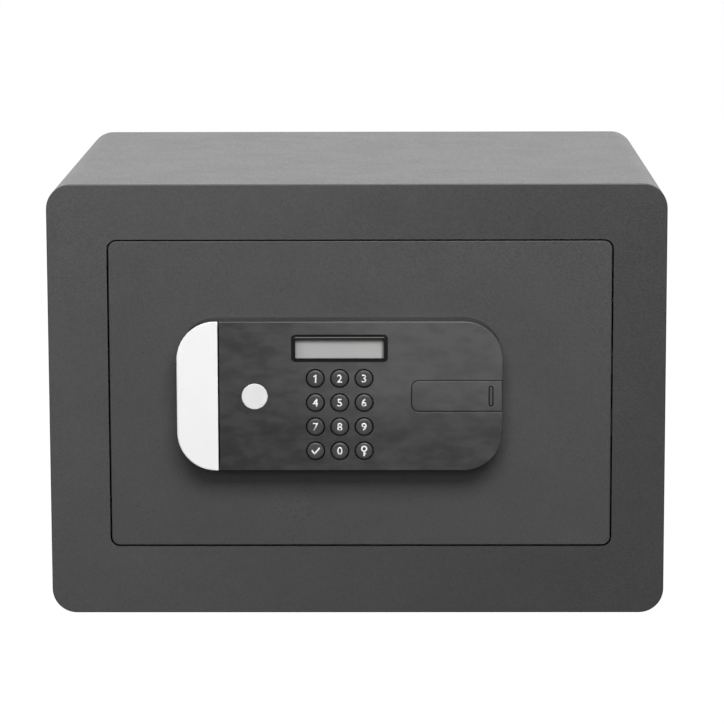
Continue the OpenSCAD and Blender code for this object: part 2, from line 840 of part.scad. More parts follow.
// Four cells, each turned round from the one above it
module battery_cells() {
    nub = 1;
    can = cell_len - nub;
    mid_x = bay_x0 + bay_w / 2;
    color("steelblue") for (i = [0 : 3]) {
        z = bay_cz + (i - 1.5) * cell_pitch;
        turn = i % 2 == 0 ? 1 : -1;
        nub_x = mid_x + turn * (can / 2);
        bar_x(cell_d / 2, mid_x - can / 2, mid_x + can / 2, cell_y, z);
        bar_x(2.7, min(nub_x, nub_x + turn * nub), max(nub_x, nub_x + turn * nub), cell_y, z);
    }
}

// Sprung contact leaves between the cells and the tray's ends
module battery_contacts() {
    can = cell_len - 1;
    mid_x = bay_x0 + bay_w / 2;
    leaf_t = 0.5;
    color(brass) for (i = [0 : 3], side = [-1, 1]) {
        z = bay_cz + (i - 1.5) * cell_pitch;
        has_nub = (i % 2 == 0) == (side > 0);
        wall_x = mid_x + side * (bay_w / 2 - bay_wall);
        cell_x = mid_x + side * (can / 2 + (has_nub ? 1 : 0));
        leaf_x = wall_x - side * leaf_t;
        block([min(wall_x, leaf_x), cell_y - 5, z - 5], [max(wall_x, leaf_x), cell_y + 5, z + 5]);
        bar_x(3, min(leaf_x, cell_x), max(leaf_x, cell_x), cell_y, z);
    }
}

module battery_cover() {
    w = bay_w - 2 * bay_wall;
    h = bay_h - 2 * bay_wall;
    cx = bay_x0 + bay_w / 2;
    color(black_plastic) difference() {
        union() {
            bevelled_plate(lid_w, lid_h, lid_r, cover_face + lid_t, cover_face, 0.4, cx, bay_cz);
            slab(case_back + 0.2, cover_face)
                round_rect(w - 2 * slide_fit, h - 2 * slide_fit, 1, cx, bay_cz);
        }
        slab(case_back, cover_face) round_rect(w - 4, h - 4, 1, cx, bay_cz);
        for (i = [-2 : 2])
            slab(cover_face + 1, cover_face + 2) round_rect(1.2, 14, 0.55, cx + w / 2 - 9 + i * 2.4, bay_cz);
    }
}

// A long red plunger that reaches the switch on the control board
module reset_button() {
    switch_y = control_y + board_t + switch_h;
    travel = 1.2;
    color("firebrick") {
        bar_y(3.5, case_back, cover_face + 1.4, reset_x, reset_z);
        bar_y(5, case_back - 1.1, case_back - press_gap, reset_x, reset_z);
        bar_y(3.5, case_back - press_gap, case_back, reset_x, reset_z);
        bar_y(1.8, switch_y + travel + 0.3, case_back - 1.1, reset_x, reset_z);
    }
}

// A round cable that starts at the origin, runs along Y, and bends down into its drop
module cable(r, bend, run, drop) {
    bar_y(r, 0, run - bend, 0, 0);
    translate([0, run - bend, -bend]) rotate([90, 0, 90])
        rotate_extrude(angle = 90) translate([bend, 0]) circle(r);
    bar_z(r, -drop, -bend, 0, run);
}

// The motor's lead runs to the left from its end, the battery's to the right from its tray
module wire_leads() {
    motor_end = gearbox_x0 - motor_len;
    tray_end = bay_x0 + bay_w;
    color("#1c1c1c") {
        translate([motor_end, plug_y, gear_z]) rotate(90)
            cable(lead_r, lead_bend, motor_end - motor_plug_x, gear_z - motor_plug_z);
        translate([tray_end, battery_lead_y, battery_lead_z]) rotate(-90)
            cable(lead_r, lead_bend, battery_plug_x - tray_end, battery_lead_z - battery_plug_z);
    }
}

// The cable from the keypad board, through the door plate, down to the control board
module keypad_cable() {
    start_y = board_y0 + board_t + socket_t;
    color("#1c1c1c") translate([cable_x, start_y, cable_z])
        cable(cable_r, cable_bend, control_y + cable_bend - start_y, cable_z - connector_z);
}

module cable_grommet() {
    color(black_plastic) difference() {
        union() {
            bar_y(grommet_r, front_y, door_back, cable_x, cable_z);
            bar_y(grommet_r + 2, door_back, door_back + 1.5, cable_x, cable_z);
        }
        bar_y(cable_r + 0.2, front_y - over, door_back + 1.5 + over, cable_x, cable_z);
    }
}

// The keypad housing

module housing_outline(inset) {
    round_rect(housing_w - 2 * inset, housing_h - 2 * inset, housing_r - inset, housing_cx, housing_cz);
}

// The moulded tub: walls, a floor against the door, screw bosses and the lock's block
module housing_tub() {
    lock_half = cover_h / 2 + tongue_w + cover_gap;
    block_half = lock_half + 2;
    color(black_plastic) difference() {
        union() {
            difference() {
                union() {
                    slab(tub_front + tub_step, front_y) housing_outline(0);
                    slab(tub_front, tub_front + tub_step) housing_outline(tub_step);
                }
                slab(tub_front - over, floor_y) housing_outline(tub_wall);
            }
            block([cover_x0 - 4, tub_front, cover_cz - block_half],
                  [housing_x1 - tub_wall + 1, floor_y + 1, cover_cz + block_half]);
            for (x = screw_xs, z = screw_zs) bar_y(screw_boss_r, tub_front + 1, floor_y + 1, x, z);
            for (sx = [-1, 1], sz = [-1, 1])
                translate([housing_cx + sx * boss_out_x, 0, housing_cz + sz * boss_out_z])
                    bar_y(board_boss_r, board_y0 + board_t, floor_y + 1, 0, 0);
            tub_ribs(tub_wall - 1);
        }
        block([cover_x0 - 1, tub_front - over, cover_cz - lock_half],
              [housing_x1 + over, channel_y, cover_cz + lock_half]);
        bar_y(lock_rim_r + bore_fit, channel_y - over, channel_y + 2, lock_x, lock_z);
        bar_y(cylinder_r + bore_fit, channel_y, front_y + over, lock_x, lock_z);
        bar_y(cable_r + 1, floor_y - over, front_y + over, cable_x, cable_z);
        for (x = screw_xs, z = screw_zs)
            bar_y(housing_screw_r + run_fit, tub_front + screw_seat, front_y + over, x, z);
    }
}

// Upright ribs on both sides of the board, and low ones behind it, up to the tub's wall
module tub_ribs(reach) {
    rib_half = rib_t / 2;
    board_edge = housing_cx - board_w / 2 - 2;
    intersection() {
        slab(tub_front + rib_drop, floor_y + 1) housing_outline(reach);
        union() {
            for (out = left_rib_outs) translate([housing_cx - out, 0, housing_cz])
                block([-rib_half, tub_front, -housing_h], [rib_half, floor_y + 1, housing_h]);
            for (out = right_rib_outs) translate([housing_cx + out, 0, housing_cz])
                block([-rib_half, tub_front, -housing_h], [rib_half, floor_y + 1, housing_h]);
            for (z = concat(screw_zs, housing_cz))
                block([housing_x0, tub_front, z - rib_half], [board_edge, floor_y + 1, z + rib_half]);
            translate([housing_cx + low_rib_x, floor_y - low_rib_h, housing_cz])
                block([-rib_half, 0, -housing_h], [rib_half, low_rib_h + 1, housing_h]);
            for (z = low_rib_zs) translate([housing_cx, floor_y - low_rib_h, housing_cz + z])
                block([-board_w / 2, 0, -rib_half], [board_w / 2, low_rib_h + 1, rib_half]);
        }
    }
}

// The housing's face with its bevel, from one end to the other
module face_plate() {
    bevelled_plate(
        housing_w, housing_h, housing_r, housing_front, tub_front, fascia_bevel, housing_cx, housing_cz);
}

module fascia() {
    seat = bezel_w + press_gap;
    color(black_plastic) difference() {
        intersection() {
            face_plate();
            block([seam_x + seam_gap / 2, housing_front - over, housing_cz - housing_h],
                  [housing_x1 + over, front_y, housing_cz + housing_h]);
        }
        for (x = key_xs, z = key_zs)
            flared_bore(key_d / 2 + key_gap, housing_front, tub_front, cut_bevel, x, z);
        flared_hole(window_w + 2 * seat, window_h + 2 * seat, bezel_r + press_gap,
            housing_front, tub_front, cut_bevel, display_cx, display_cz);
        bar_y(badge_r + press_gap, housing_front - over, housing_front + badge_deep, badge_x, housing_cz);
        flared_hole(2 * cover_len, cover_h + 2 * cover_gap, cover_r + cover_gap,
            housing_front, tub_front, cut_bevel, cover_x0 - cover_gap + cover_len, cover_cz);
    }
}

// The light end cap: a plate of its own beside the fascia
module end_cap() {
    color(light_plastic) intersection() {
        face_plate();
        block([housing_x0 - over, housing_front - over, housing_cz - housing_h],
              [seam_x - seam_gap / 2, front_y, housing_cz + housing_h]);
    }
}

module badge_disc() {
    color(light_plastic) {
        bar_y(badge_r, housing_front, housing_front + badge_deep, badge_x, housing_cz);
        translate([badge_x, housing_front - 0.3, housing_cz]) rotate([-90, 0, 0])
            cylinder(r1 = badge_r - 0.3, r2 = badge_r, h = 0.3);
    }
}

// The window's outline, grown on every side
module window_outline(grow, r) {
    round_rect(window_w + 2 * grow, window_h + 2 * grow, r, display_cx, display_cz);
}

// A sunk rim in the fascia with a raised lip round the window
module display_bezel() {
    y0 = housing_front - bezel_proud;
    lip_r = bezel_r - (bezel_w - bezel_lip);
    color("black") difference() {
        union() {
            slab(housing_front + bezel_sink, tub_front) window_outline(bezel_w, bezel_r);
            bevelled_plate(window_w + 2 * bezel_lip, window_h + 2 * bezel_lip, lip_r,
                y0, tub_front, bezel_lip / 2, display_cx, display_cz);
        }
        slab(y0 - over, tub_front + over) window_outline(0, window_r);
        slab(lens_y, tub_front + over) window_outline(glass_edge, window_r);
    }
}

module display_lens() {
    color("lightgray", 0.4)
        slab(lens_y, lens_y + lens_t) window_outline(glass_edge - press_gap / 2, window_r);
}

// The display glass in the bezel, on a carrier that lies against the back of the fascia
module display_module() {
    color("#a8a8a8") {
        slab(lens_y + lens_t, tub_front) window_outline(glass_edge - press_gap / 2, window_r);
        slab(tub_front, tub_front + module_t) window_outline(bezel_w + module_rim / 2, window_r);
    }
}

module keypad_mat() {
    color("#4a4a4a") {
        slab(mat_y0, mat_y0 + mat_sheet_t)
            round_rect(2 * key_pitch_x + 12, 3 * key_pitch_z + 12, 2, key_cx, key_cz);
        for (x = key_xs, z = key_zs) bar_y(2.2, mat_post_y, mat_y0, x, z);
    }
}

module keypad_board() {
    color(board_green) {
        slab(board_y0, board_y0 + board_t) round_rect(board_w, board_h, 2, housing_cx, housing_cz);
        translate([cable_x - socket_w / 2, board_y0 + board_t, cable_z - socket_h / 2])
            cube([socket_w, socket_t, socket_h]);
    }
}

module housing_screws() {
    color(bright_steel) for (x = screw_xs, z = screw_zs) {
        bar_y(housing_screw_r, tub_front + screw_seat + 1, door_back, x, z);
        difference() {
            bar_y(housing_head_r, door_back, door_back + housing_head_t, x, z);
            bar_y(1.6, door_back + 1, door_back + housing_head_t + over, x, z, $fn = 6);
        }
    }
}

// One key, turned from its profile: a flat face with a rounded rim, the flange that keeps it behind
// the fascia, and its stem
module key_cap(column, row) {
    face = housing_front - key_proud;
    flange_y = key_flange_y - face;
    flange_end = flange_y + key_flange_t;
    rim_steps = 4;
    rim = [for (i = [0 : rim_steps])
        [key_d / 2 - key_rim_w * (1 - sin(90 * i / rim_steps)), key_rim_h * (1 - cos(90 * i / rim_steps))]];
    color(black_plastic) translate([key_xs[column], face, key_zs[row]]) rotate([-90, 0, 0])
        rotate_extrude() polygon(concat([[0, 0]], rim, [
            [key_d / 2, flange_y], [key_flange_r, flange_y], [key_flange_r, flange_end],
            [stem_r, flange_end], [stem_r, stem_end - face], [0, stem_end - face]
        ]));
}

// The cover slides to the right on tongues that run below the fascia. Its grip is a rib in a groove.
module key_cover() {
    lock_half = cover_h / 2 + tongue_w;
    end_x = housing_x1 - cover_end;
    grip_x = housing_x1 - grip_in;
    color(black_plastic) difference() {
        union() {
            difference() {
                bevelled_plate(2 * cover_len, cover_h, cover_r,
                    housing_front, tongue_y0, cover_bevel, housing_x1, cover_cz);
                block([end_x, housing_front - over, cover_cz - cover_h],
                      [housing_x1 + 2 * cover_len, tub_front + over, cover_cz + cover_h]);
            }
            block([cover_x0, tongue_y0, cover_cz - lock_half], [end_x, tongue_y1, cover_cz + lock_half]);
        }
        slab(housing_front - over, housing_front + grip_deep)
            round_rect(grip_w, grip_h, grip_w / 2 - 0.1, grip_x, cover_cz);
    }
    color(black_plastic)
        bevelled_plate(grip_w - 2 * grip_groove, grip_h - 2 * grip_groove, grip_w / 2 - grip_groove - 0.1,
            housing_front - grip_proud, housing_front + grip_deep, 0.2, grip_x, cover_cz);
}

// The key lock that backs up the keypad

module lock_cylinder() {
    color(bright_steel) difference() {
        union() {
            translate([lock_x, channel_y, lock_z]) rotate([-90, 0, 0])
                cylinder(r1 = lock_rim_r - 0.5, r2 = lock_rim_r, h = 0.5);
            bar_y(lock_rim_r, channel_y + 0.5, channel_y + 2, lock_x, lock_z);
            bar_y(cylinder_r, channel_y + 2, cylinder_back, lock_x, lock_z);
        }
        bar_y(plug_r + run_fit, channel_y - over, cylinder_back + over, lock_x, lock_z);
    }
}

module lock_nut() {
    color(bright_steel)
        hex_nut(nut_across, cylinder_r + run_fit, door_back, door_back + nut_t, lock_x, lock_z);
}

module lock_plug() {
    color(brass) difference() {
        union() {
            bar_y(plug_r, channel_y, cylinder_back, lock_x, lock_z);
            block([lock_x - 3, cylinder_back, lock_z - 3], [lock_x + 3, cam_y1, lock_z + 3]);
            bar_y(cam_stud_r, cam_y1, cam_y1 + cam_nut_t + 0.6, lock_x, lock_z);
        }
        slab(channel_y - over, channel_y + key_slot_deep)
            round_rect(key_slot_w, key_slot_h, key_slot_w / 3, lock_x, lock_z);
    }
}

// The lever that draws the bolts back when the key is turned
module override_cam() {
    color(bright_steel) difference() {
        union() {
            bar_y(7, cam_y0, cam_y1, lock_x, lock_z);
            translate([lock_x, 0, lock_z]) rotate([0, cam_rest, 0])
                slab(cam_y0, cam_y1) translate([-cam_half, 0]) square([2 * cam_half, cam_len]);
        }
        block([lock_x - 3.05, cam_y0 - over, lock_z - 3.05], [lock_x + 3.05, cam_y1 + over, lock_z + 3.05]);
    }
}

module cam_nut() {
    color(bright_steel)
        hex_nut(cam_nut_across, cam_stud_r + run_fit, cam_y1, cam_y1 + cam_nut_t, lock_x, lock_z);
}

// The rack and pinion. The pinion's flanks are involutes and the rack's are straight.

function involute(angle) = tan(angle) * 180 / PI - angle;

function tooth_half_angle(r) =
    90 / gear_teeth - backlash / gear_r * 90 / PI
    + involute(pressure) - involute(acos(min(1, gear_r * cos(pressure) / r)));

function polar(r, a) = [r * cos(a), r * sin(a)];

// One tooth whose middle points along the angle: root, rising flank, tip, falling flank, root
function tooth(angle) =
    let (
        base_r = gear_r * cos(pressure),
        tip_r = gear_r + gear_m,
        root_r = gear_r - rack_foot,
        steps = 4,
        radii = [for (i = [0 : steps]) base_r + (tip_r - base_r) * i / steps]
    )
    concat(
        [polar(root_r, angle - tooth_half_angle(base_r))],
        [for (r = radii) polar(r, angle - tooth_half_angle(r))],
        [for (i = [steps : -1 : 0]) polar(radii[i], angle + tooth_half_angle(radii[i]))],
        [polar(root_r, angle + tooth_half_angle(base_r))]
    );

module drive_pinion() {
    outline = [for (i = [0 : gear_teeth - 1]) each tooth(-90 + i * 360 / gear_teeth)];
    color(brass) {
        slab(gear_y0, gear_y1) translate([gear_x, gear_z]) polygon(outline);
        bar_y(shaft_r, gearbox_back - 7, gear_y0, gear_x, gear_z);
        bar_y(shaft_r, gear_y1, gear_y1 + 1.5, gear_x, gear_z);
    }
}

// The rack's outline, from its foot at the left to its foot at the right
function rack_points() =
    let (
        slope = tan(pressure),
        half = (tooth_pitch - backlash) / 4,
        count = floor((rack_x1 - bar_x0) / tooth_pitch)
    )
    [for (i = [0 : count - 1])
        let (x = gear_x + tooth_pitch * (i + 0.5 - round((gear_x - bar_x0) / tooth_pitch)))
        each [
            [x - half - rack_foot * slope, rack_z - rack_foot],
            [x - half + rack_head * slope, rack_z + rack_head],
            [x + half - rack_head * slope, rack_z + rack_head],
            [x + half + rack_foot * slope, rack_z - rack_foot]
        ]
    ];

// A slot along X that lets the carriage run past a post
module post_slot(p) {
    translate([p[0] - bolt_throw, p[1]]) circle(slot_r);
    translate([p[0], p[1]]) circle(slot_r);
    translate([p[0] - bolt_throw, p[1] - slot_r]) square([bolt_throw, 2 * slot_r]);
}

module bolt_carriage() {
    teeth = rack_points();
    color(bright_steel) difference() {
        union() {
            block([web_x, web_y0, bolt_zs[0] - web_overhang],
                  [web_x + web_t, web_y1, bolt_zs[1] + web_overhang]);
            slab(bar_y0, bar_y1) difference() {
                polygon(concat([[bar_x0 - 3, bar_z0], [bar_x0 - 3, rack_z - rack_foot]], teeth,
                    [[web_x + 1, rack_z - rack_foot], [web_x + 1, bar_z0]]));
                for (p = posts) post_slot(p);
            }
            bar_y(lug_r, cam_y0 + 1, bar_y0 + 1, lug_x, lug_z);
        }
        for (z = bolt_zs) bar_x(3.1, web_x - over, web_x + web_t + over, bolt_y, z);
    }
}

module locking_bolts() {
    color(bright_steel) for (z = bolt_zs) difference() {
        union() {
            bar_x(bolt_r, bolt_root_x, bolt_tip_x - bolt_bevel, bolt_y, z);
            translate([bolt_tip_x - bolt_bevel, bolt_y, z]) rotate([0, 90, 0])
                cylinder(r1 = bolt_r, r2 = bolt_r - bolt_bevel, h = bolt_bevel);
        }
        bar_x(3, bolt_root_x - over, bolt_root_x + bolt_thread, bolt_y, z);
    }
}

module bolt_screws() {
    color(bright_steel) for (z = bolt_zs) {
        bar_x(2.95, web_x, bolt_root_x + bolt_thread - 1, bolt_y, z);
        difference() {
            bar_x(5, web_x - bolt_head_t, web_x, bolt_y, z);
            translate([web_x - bolt_head_t - over, bolt_y, z]) rotate([0, 90, 0])
                cylinder(r = 2.5, h = 2 + over, $fn = 6);
        }
    }
}

cabinet_shell();
front_frame();
back_panel();
door_jamb();
hinge_pins();
floor_mat();
door_plate();
hinge_knuckles();
hinge_bushes();
mechanism_case();
inner_cover();
inner_cover_screws();
bolt_guide();
guide_posts();
guide_screws();
motor_gearbox();
gearbox_screws();
motor_can();
control_board();
board_standoffs();
battery_tray();
battery_cells();
battery_contacts();
wire_leads();
keypad_cable();
cable_grommet();
housing_tub();
fascia();
end_cap();
badge_disc();
display_bezel();
display_lens();
display_module();
keypad_mat();
keypad_board();
housing_screws();
lock_cylinder();
lock_nut();
lock_plug();
override_cam();
cam_nut();
drive_pinion();
bolt_carriage();
locking_bolts();
bolt_screws();
key_cap(0, 0);  // key_1
key_cap(1, 0);  // key_2
key_cap(2, 0);  // key_3
key_cap(0, 1);  // key_4
key_cap(1, 1);  // key_5
key_cap(2, 1);  // key_6
key_cap(0, 2);  // key_7
key_cap(1, 2);  // key_8
key_cap(2, 2);  // key_9
key_cap(0, 3);  // key_enter
key_cap(1, 3);  // key_0
key_cap(2, 3);  // key_unlock
key_cover();
battery_cover();
reset_button();
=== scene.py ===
import json
import math

import bpy
from bpy.props import FloatProperty, FloatVectorProperty, IntProperty, PointerProperty
from bpy.types import Operator, Panel, PropertyGroup
from mathutils import Matrix, Vector


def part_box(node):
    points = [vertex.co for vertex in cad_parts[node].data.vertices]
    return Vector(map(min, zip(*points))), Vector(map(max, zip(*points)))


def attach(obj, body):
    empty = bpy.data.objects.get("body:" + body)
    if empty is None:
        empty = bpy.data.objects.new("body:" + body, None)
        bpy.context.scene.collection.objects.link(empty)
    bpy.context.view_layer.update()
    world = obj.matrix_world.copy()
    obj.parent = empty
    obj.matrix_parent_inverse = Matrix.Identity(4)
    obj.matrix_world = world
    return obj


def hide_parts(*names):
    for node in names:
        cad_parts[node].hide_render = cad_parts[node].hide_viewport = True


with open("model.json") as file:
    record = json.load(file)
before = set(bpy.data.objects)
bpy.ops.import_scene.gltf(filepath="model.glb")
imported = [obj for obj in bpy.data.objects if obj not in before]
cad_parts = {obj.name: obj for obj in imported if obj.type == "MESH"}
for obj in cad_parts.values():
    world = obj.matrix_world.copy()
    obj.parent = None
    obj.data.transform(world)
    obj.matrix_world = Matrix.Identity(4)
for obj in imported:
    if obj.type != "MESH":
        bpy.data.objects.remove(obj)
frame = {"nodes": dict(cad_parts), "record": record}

bl_info = {
    "name": "Electronic Safe",
    "version": (1, 0, 0),
    "blender": (4, 5, 0),
    "location": "3D View > Sidebar > Safe",
    "description": "Dresses the packed safe in its finishes and adds its key legends and floor mat",
    "category": "Object",
}

MM = 0.001
NODES = frame["nodes"]

# What is printed on each key
LEGENDS = {
    "key_1": "1", "key_2": "2", "key_3": "3", "key_4": "4", "key_5": "5", "key_6": "6",
    "key_7": "7", "key_8": "8", "key_9": "9", "key_0": "0",
    "key_enter": "tick", "key_unlock": "key",
}

# Each lamp's name, place and two sides, the setting that holds its power, and whether gloss mirrors it
LAMPS = (
    ("front lamp", (0.15, -1.65, 1.5), (1.5, 0.9), "front_power", True),
    ("low lamp", (-0.2, -2.4, 0.85), (1.6, 0.5), "low_power", True),
    ("overhead lamp", (0.05, -0.35, 1.4), (0.9, 0.5), "overhead_power", True),
    ("left rear lamp", (-1.8, 1.2, 0.55), (0.9, 0.9), "rear_power", False),
    ("right rear lamp", (1.8, 1.2, 0.55), (0.9, 0.9), "rear_power", False),
)
# What every lamp points at
LAMP_TARGET = Vector((0, -0.1, 0.12))
# Between these two Y parts of a direction, the room in reflections turns from dark to white
ROOM_EDGE = (-0.35, 0.25)
# The camera's sensor, in millimetres, and how far it sees, in metres
SENSOR_WIDTH = 36
VIEW_DEPTH = 50

# Colours of the metals
ZINC = (0.60, 0.60, 0.59)
BOLT_NICKEL = (0.66, 0.65, 0.63)
LOCK_NICKEL = (0.64, 0.63, 0.61)
HINGE_STEEL = (0.62, 0.62, 0.63)
MOTOR_STEEL = (0.55, 0.55, 0.55)
SCREW_STEEL = (0.5, 0.5, 0.5)
BRASS = (0.62, 0.44, 0.17)
TINNED_COPPER = (0.72, 0.66, 0.5)

# Colours of what lies behind the door and inside the housing
CASE_COAT = (0.035, 0.035, 0.037)
BUSH_NYLON = (0.02, 0.02, 0.02)
COVER_PLASTIC = (0.022, 0.022, 0.023)
BUTTON_RED = (0.46, 0.012, 0.010)
SOLDER_MASK = (0.006, 0.07, 0.025)
DOME_RUBBER = (0.09, 0.09, 0.09)
CABLE_JACKET = (0.012, 0.012, 0.012)
CELL_SLEEVE = (0.03, 0.08, 0.2)
CELL_BAND = (0.55, 0.55, 0.56)

# How noise is scaled along each axis: evenly, or so that its scratches run along one of them
EVEN = (1.0, 1.0, 1.0)
ALONG_X = (0.06, 1.0, 1.0)
ALONG_Y = (1.0, 0.1, 1.0)
ALONG_Z = (1.0, 1.0, 0.06)

# Faces that meet at less than the first angle are shaded as one, and edges over the second are rounded
SMOOTH_ANGLE = math.radians(35)
CORNER_ANGLE = math.radians(60)
# Points nearer to each other than this are one point
MERGE_DISTANCE = 0.005 * MM
# Length of the cutters for the mat's holes, half of it below the floor
CUTTER_LENGTH = 50 * MM
# Facets round one of the mat's holes, and along one curve of a digit
HOLE_FACETS = 48
DIGIT_CURVE_STEPS = 6


class StageSettings(PropertyGroup):
    """The camera, the lamps and the floor"""

    lens: FloatProperty(
        name="Lens", description="Focal length on a 36 mm wide sensor", default=172.2, min=20,
    )
    eye: FloatVectorProperty(
        name="Eye", description="Where the camera stands", default=(0.0238, -2.0860, 0.4672),
        unit="LENGTH", subtype="TRANSLATION",
    )
    pitch: FloatProperty(
        name="Pitch", description="How far the camera looks down", default=math.radians(9.43),
        subtype="ANGLE",
    )
    yaw: FloatProperty(
        name="Yaw", description="How far the camera looks to the right", default=math.radians(-0.62),
        subtype="ANGLE",
    )
    roll: FloatProperty(
        name="Roll", description="How far the camera leans over", default=math.radians(-0.16),
        subtype="ANGLE",
    )
    floor_side: FloatProperty(
        name="Floor", description="Side of the square floor", default=14.0, unit="LENGTH",
    )
    floor_colour: FloatVectorProperty(
        name="Floor colour", description="Colour of the floor", default=(0.08, 0.08, 0.08),
        subtype="COLOR", min=0, max=1,
    )
    floor_glow: FloatProperty(
        name="Floor glow", description="How much white the camera adds to the floor", default=0.96,
        min=0, max=1,
    )
    floor_mirror: FloatProperty(
        name="Floor mirror", description="How much white the floor has in reflections", default=0.1,
        min=0, max=1,
    )
    sky_level: FloatProperty(name="Sky", description="Even light from all round", default=0.12, min=0)
    front_level: FloatProperty(
        name="Front", description="How bright the room in front of the safe looks in reflections",
        default=0.1, min=0,
    )
    front_power: FloatProperty(
        name="Front lamp", description="Power of the main lamp", default=45.0, min=0,
    )
    low_power: FloatProperty(
        name="Low lamp", description="Power of the weak lamp low in front of the safe", default=9.5,
        min=0,
    )
    overhead_power: FloatProperty(
        name="Overhead lamp", description="Power of the small lamp above the safe", default=4.0, min=0,
    )
    rear_power: FloatProperty(
        name="Rear lamps", description="Power of each of the two lamps beside and behind the safe",
        default=26.0, min=0,
    )


class FinishSettings(PropertyGroup):
    """Colours and surfaces of the finishes that show from outside, and of the mat"""

    coat: FloatVectorProperty(
        name="Coat", description="Colour of the powder coat", default=(0.065, 0.065, 0.065),
        subtype="COLOR", min=0, max=1,
    )
    coat_grain: FloatProperty(
        name="Coat grain", description="Size of the powder coat's grain", default=0.9 * MM,
        unit="LENGTH", precision=5,
    )
    # The front frame's coat carries painted light: lighter at its left and shaded darker towards its right
    frame_painted_light: FloatProperty(
        name="Frame tone", description="Tone of the front frame's left side against the rest of the coat",
        default=1.06, min=0, precision=3,
    )
    frame_painted_falloff: FloatProperty(
        name="Frame fade", description="How far the front frame's coat darkens to the right",
        default=0.3, min=0, max=1,
    )
    housing: FloatVectorProperty(
        name="Housing", description="Colour of the keypad housing", default=(0.051, 0.051, 0.051),
        subtype="COLOR", min=0, max=1,
    )
    # The tub's colour is painted darker than the housing's, as shade on the housing's sides
    tub: FloatVectorProperty(
        name="Tub", description="Colour of the tub behind the fascia", default=(0.026, 0.026, 0.026),
        subtype="COLOR", min=0, max=1,
    )
    cap: FloatVectorProperty(
        name="End cap", description="Colour of the light end cap", default=(0.89, 0.89, 0.89),
        subtype="COLOR", min=0, max=1,
    )
    disc: FloatVectorProperty(
        name="Badge disc", description="Colour of the blank disc", default=(0.77, 0.77, 0.77),
        subtype="COLOR", min=0, max=1,
    )
    bezel: FloatVectorProperty(
        name="Bezel", description="Colour of the display's bezel", default=(0.003, 0.003, 0.003),
        subtype="COLOR", min=0, max=1,
    )
    display: FloatVectorProperty(
        name="Display", description="Colour of the unlit display", default=(0.56, 0.56, 0.555),
        subtype="COLOR", min=0, max=1,
    )
    key_caps: FloatVectorProperty(
        name="Keys", description="Colour of the keys", default=(0.048, 0.048, 0.048),
        subtype="COLOR", min=0, max=1,
    )
    ink: FloatVectorProperty(
        name="Ink", description="Colour of the signs on the keys", default=(0.88, 0.88, 0.88),
        subtype="COLOR", min=0, max=1,
    )
    felt: FloatVectorProperty(
        name="Felt", description="Colour of the floor mat", default=(0.016, 0.016, 0.018),
        subtype="COLOR", min=0, max=1,
    )


class LegendSettings(PropertyGroup):
    """The signs on the keys"""

    height: FloatProperty(
        name="Height", description="Height of a digit", default=4.6 * MM, unit="LENGTH", precision=5,
    )
    boldness: FloatProperty(
        name="Boldness", description="How far a digit's outline grows", default=0.016, min=0,
        precision=4,
    )
    thickness: FloatProperty(
        name="Thickness", description="Thickness of the ink", default=0.06 * MM, unit="LENGTH",
        precision=6,
    )
    stroke: FloatProperty(
        name="Stroke", description="Width of the strokes of the plain signs", default=0.84 * MM,
        unit="LENGTH", precision=5,
    )
    ring_points: IntProperty(
        name="Ring points", description="Points round the key sign's ring", default=40, min=12,
    )


class MatSettings(PropertyGroup):
    """The felt mat on the cabinet's floor"""

    hole_radius: FloatProperty(
        name="Hole", description="Radius of the holes over the anchors", default=9 * MM,
        unit="LENGTH", precision=5,
    )
    edge: FloatProperty(
        name="Edge", description="Rounding of the mat's edges", default=1.0 * MM, unit="LENGTH",
        precision=5,
    )
    nap: FloatProperty(
        name="Nap", description="How far the felt's top stays below the plain solid's",
        default=0.25 * MM, unit="LENGTH", precision=6,
    )


# Shader graphs

class Wire:
    """An output socket. Arithmetic on one that carries a number adds Math nodes to its shading."""

    def __init__(self, shading, socket):
        self.shading = shading
        self.socket = socket

    def math(self, operation, *values):
        """A wire from a Math node that is fed the values."""
        return self.shading.node("ShaderNodeMath", dict(enumerate(values)), operation=operation)

    def __add__(self, other):
        return self.math("ADD", self, other)

    def __radd__(self, other):
        return self.math("ADD", other, self)

    def __sub__(self, other):
        return self.math("SUBTRACT", self, other)

    def __rsub__(self, other):
        return self.math("SUBTRACT", other, self)

    def __mul__(self, other):
        return self.math("MULTIPLY", self, other)

    def __rmul__(self, other):
        return self.math("MULTIPLY", other, self)

    def between(self, low=0.3, high=0.7):
        """0 below low, 1 above high and smooth between them, by default over the middle of a noise."""
        inputs = {"Value": self, "From Min": low, "From Max": high}
        return self.shading.node("ShaderNodeMapRange", inputs, interpolation_type="SMOOTHSTEP")


class Shading:
    """A node tree, and the one way to add a node to it."""

    def __init__(self, tree):
        self.tree = tree

    def node(self, kind, inputs=None, output=0, **settings):
        """Adds a node, gives it its settings and then its inputs, and returns a wire from its output."""
        made = self.tree.nodes.new(kind)
        for key, value in settings.items():
            setattr(made, key, value)
        for key, value in (inputs or {}).items():
            self.feed(made.inputs[key], value)
        return Wire(self, made.outputs[output])

    def feed(self, socket, value):
        """Sets a socket, or links a wire to it."""
        if isinstance(value, Wire):
            self.tree.links.new(value.socket, socket)
        else:
            socket.default_value = value

    def ray_kinds(self):
        """Two wires: 1 for a ray from the camera, and 1 for a ray off or through a surface."""
        seen, glossy, clear = (
            self.node("ShaderNodeLightPath", output=f"Is {kind} Ray")
            for kind in ("Camera", "Glossy", "Transmission")
        )
        return seen, glossy.math("MAXIMUM", glossy, clear)


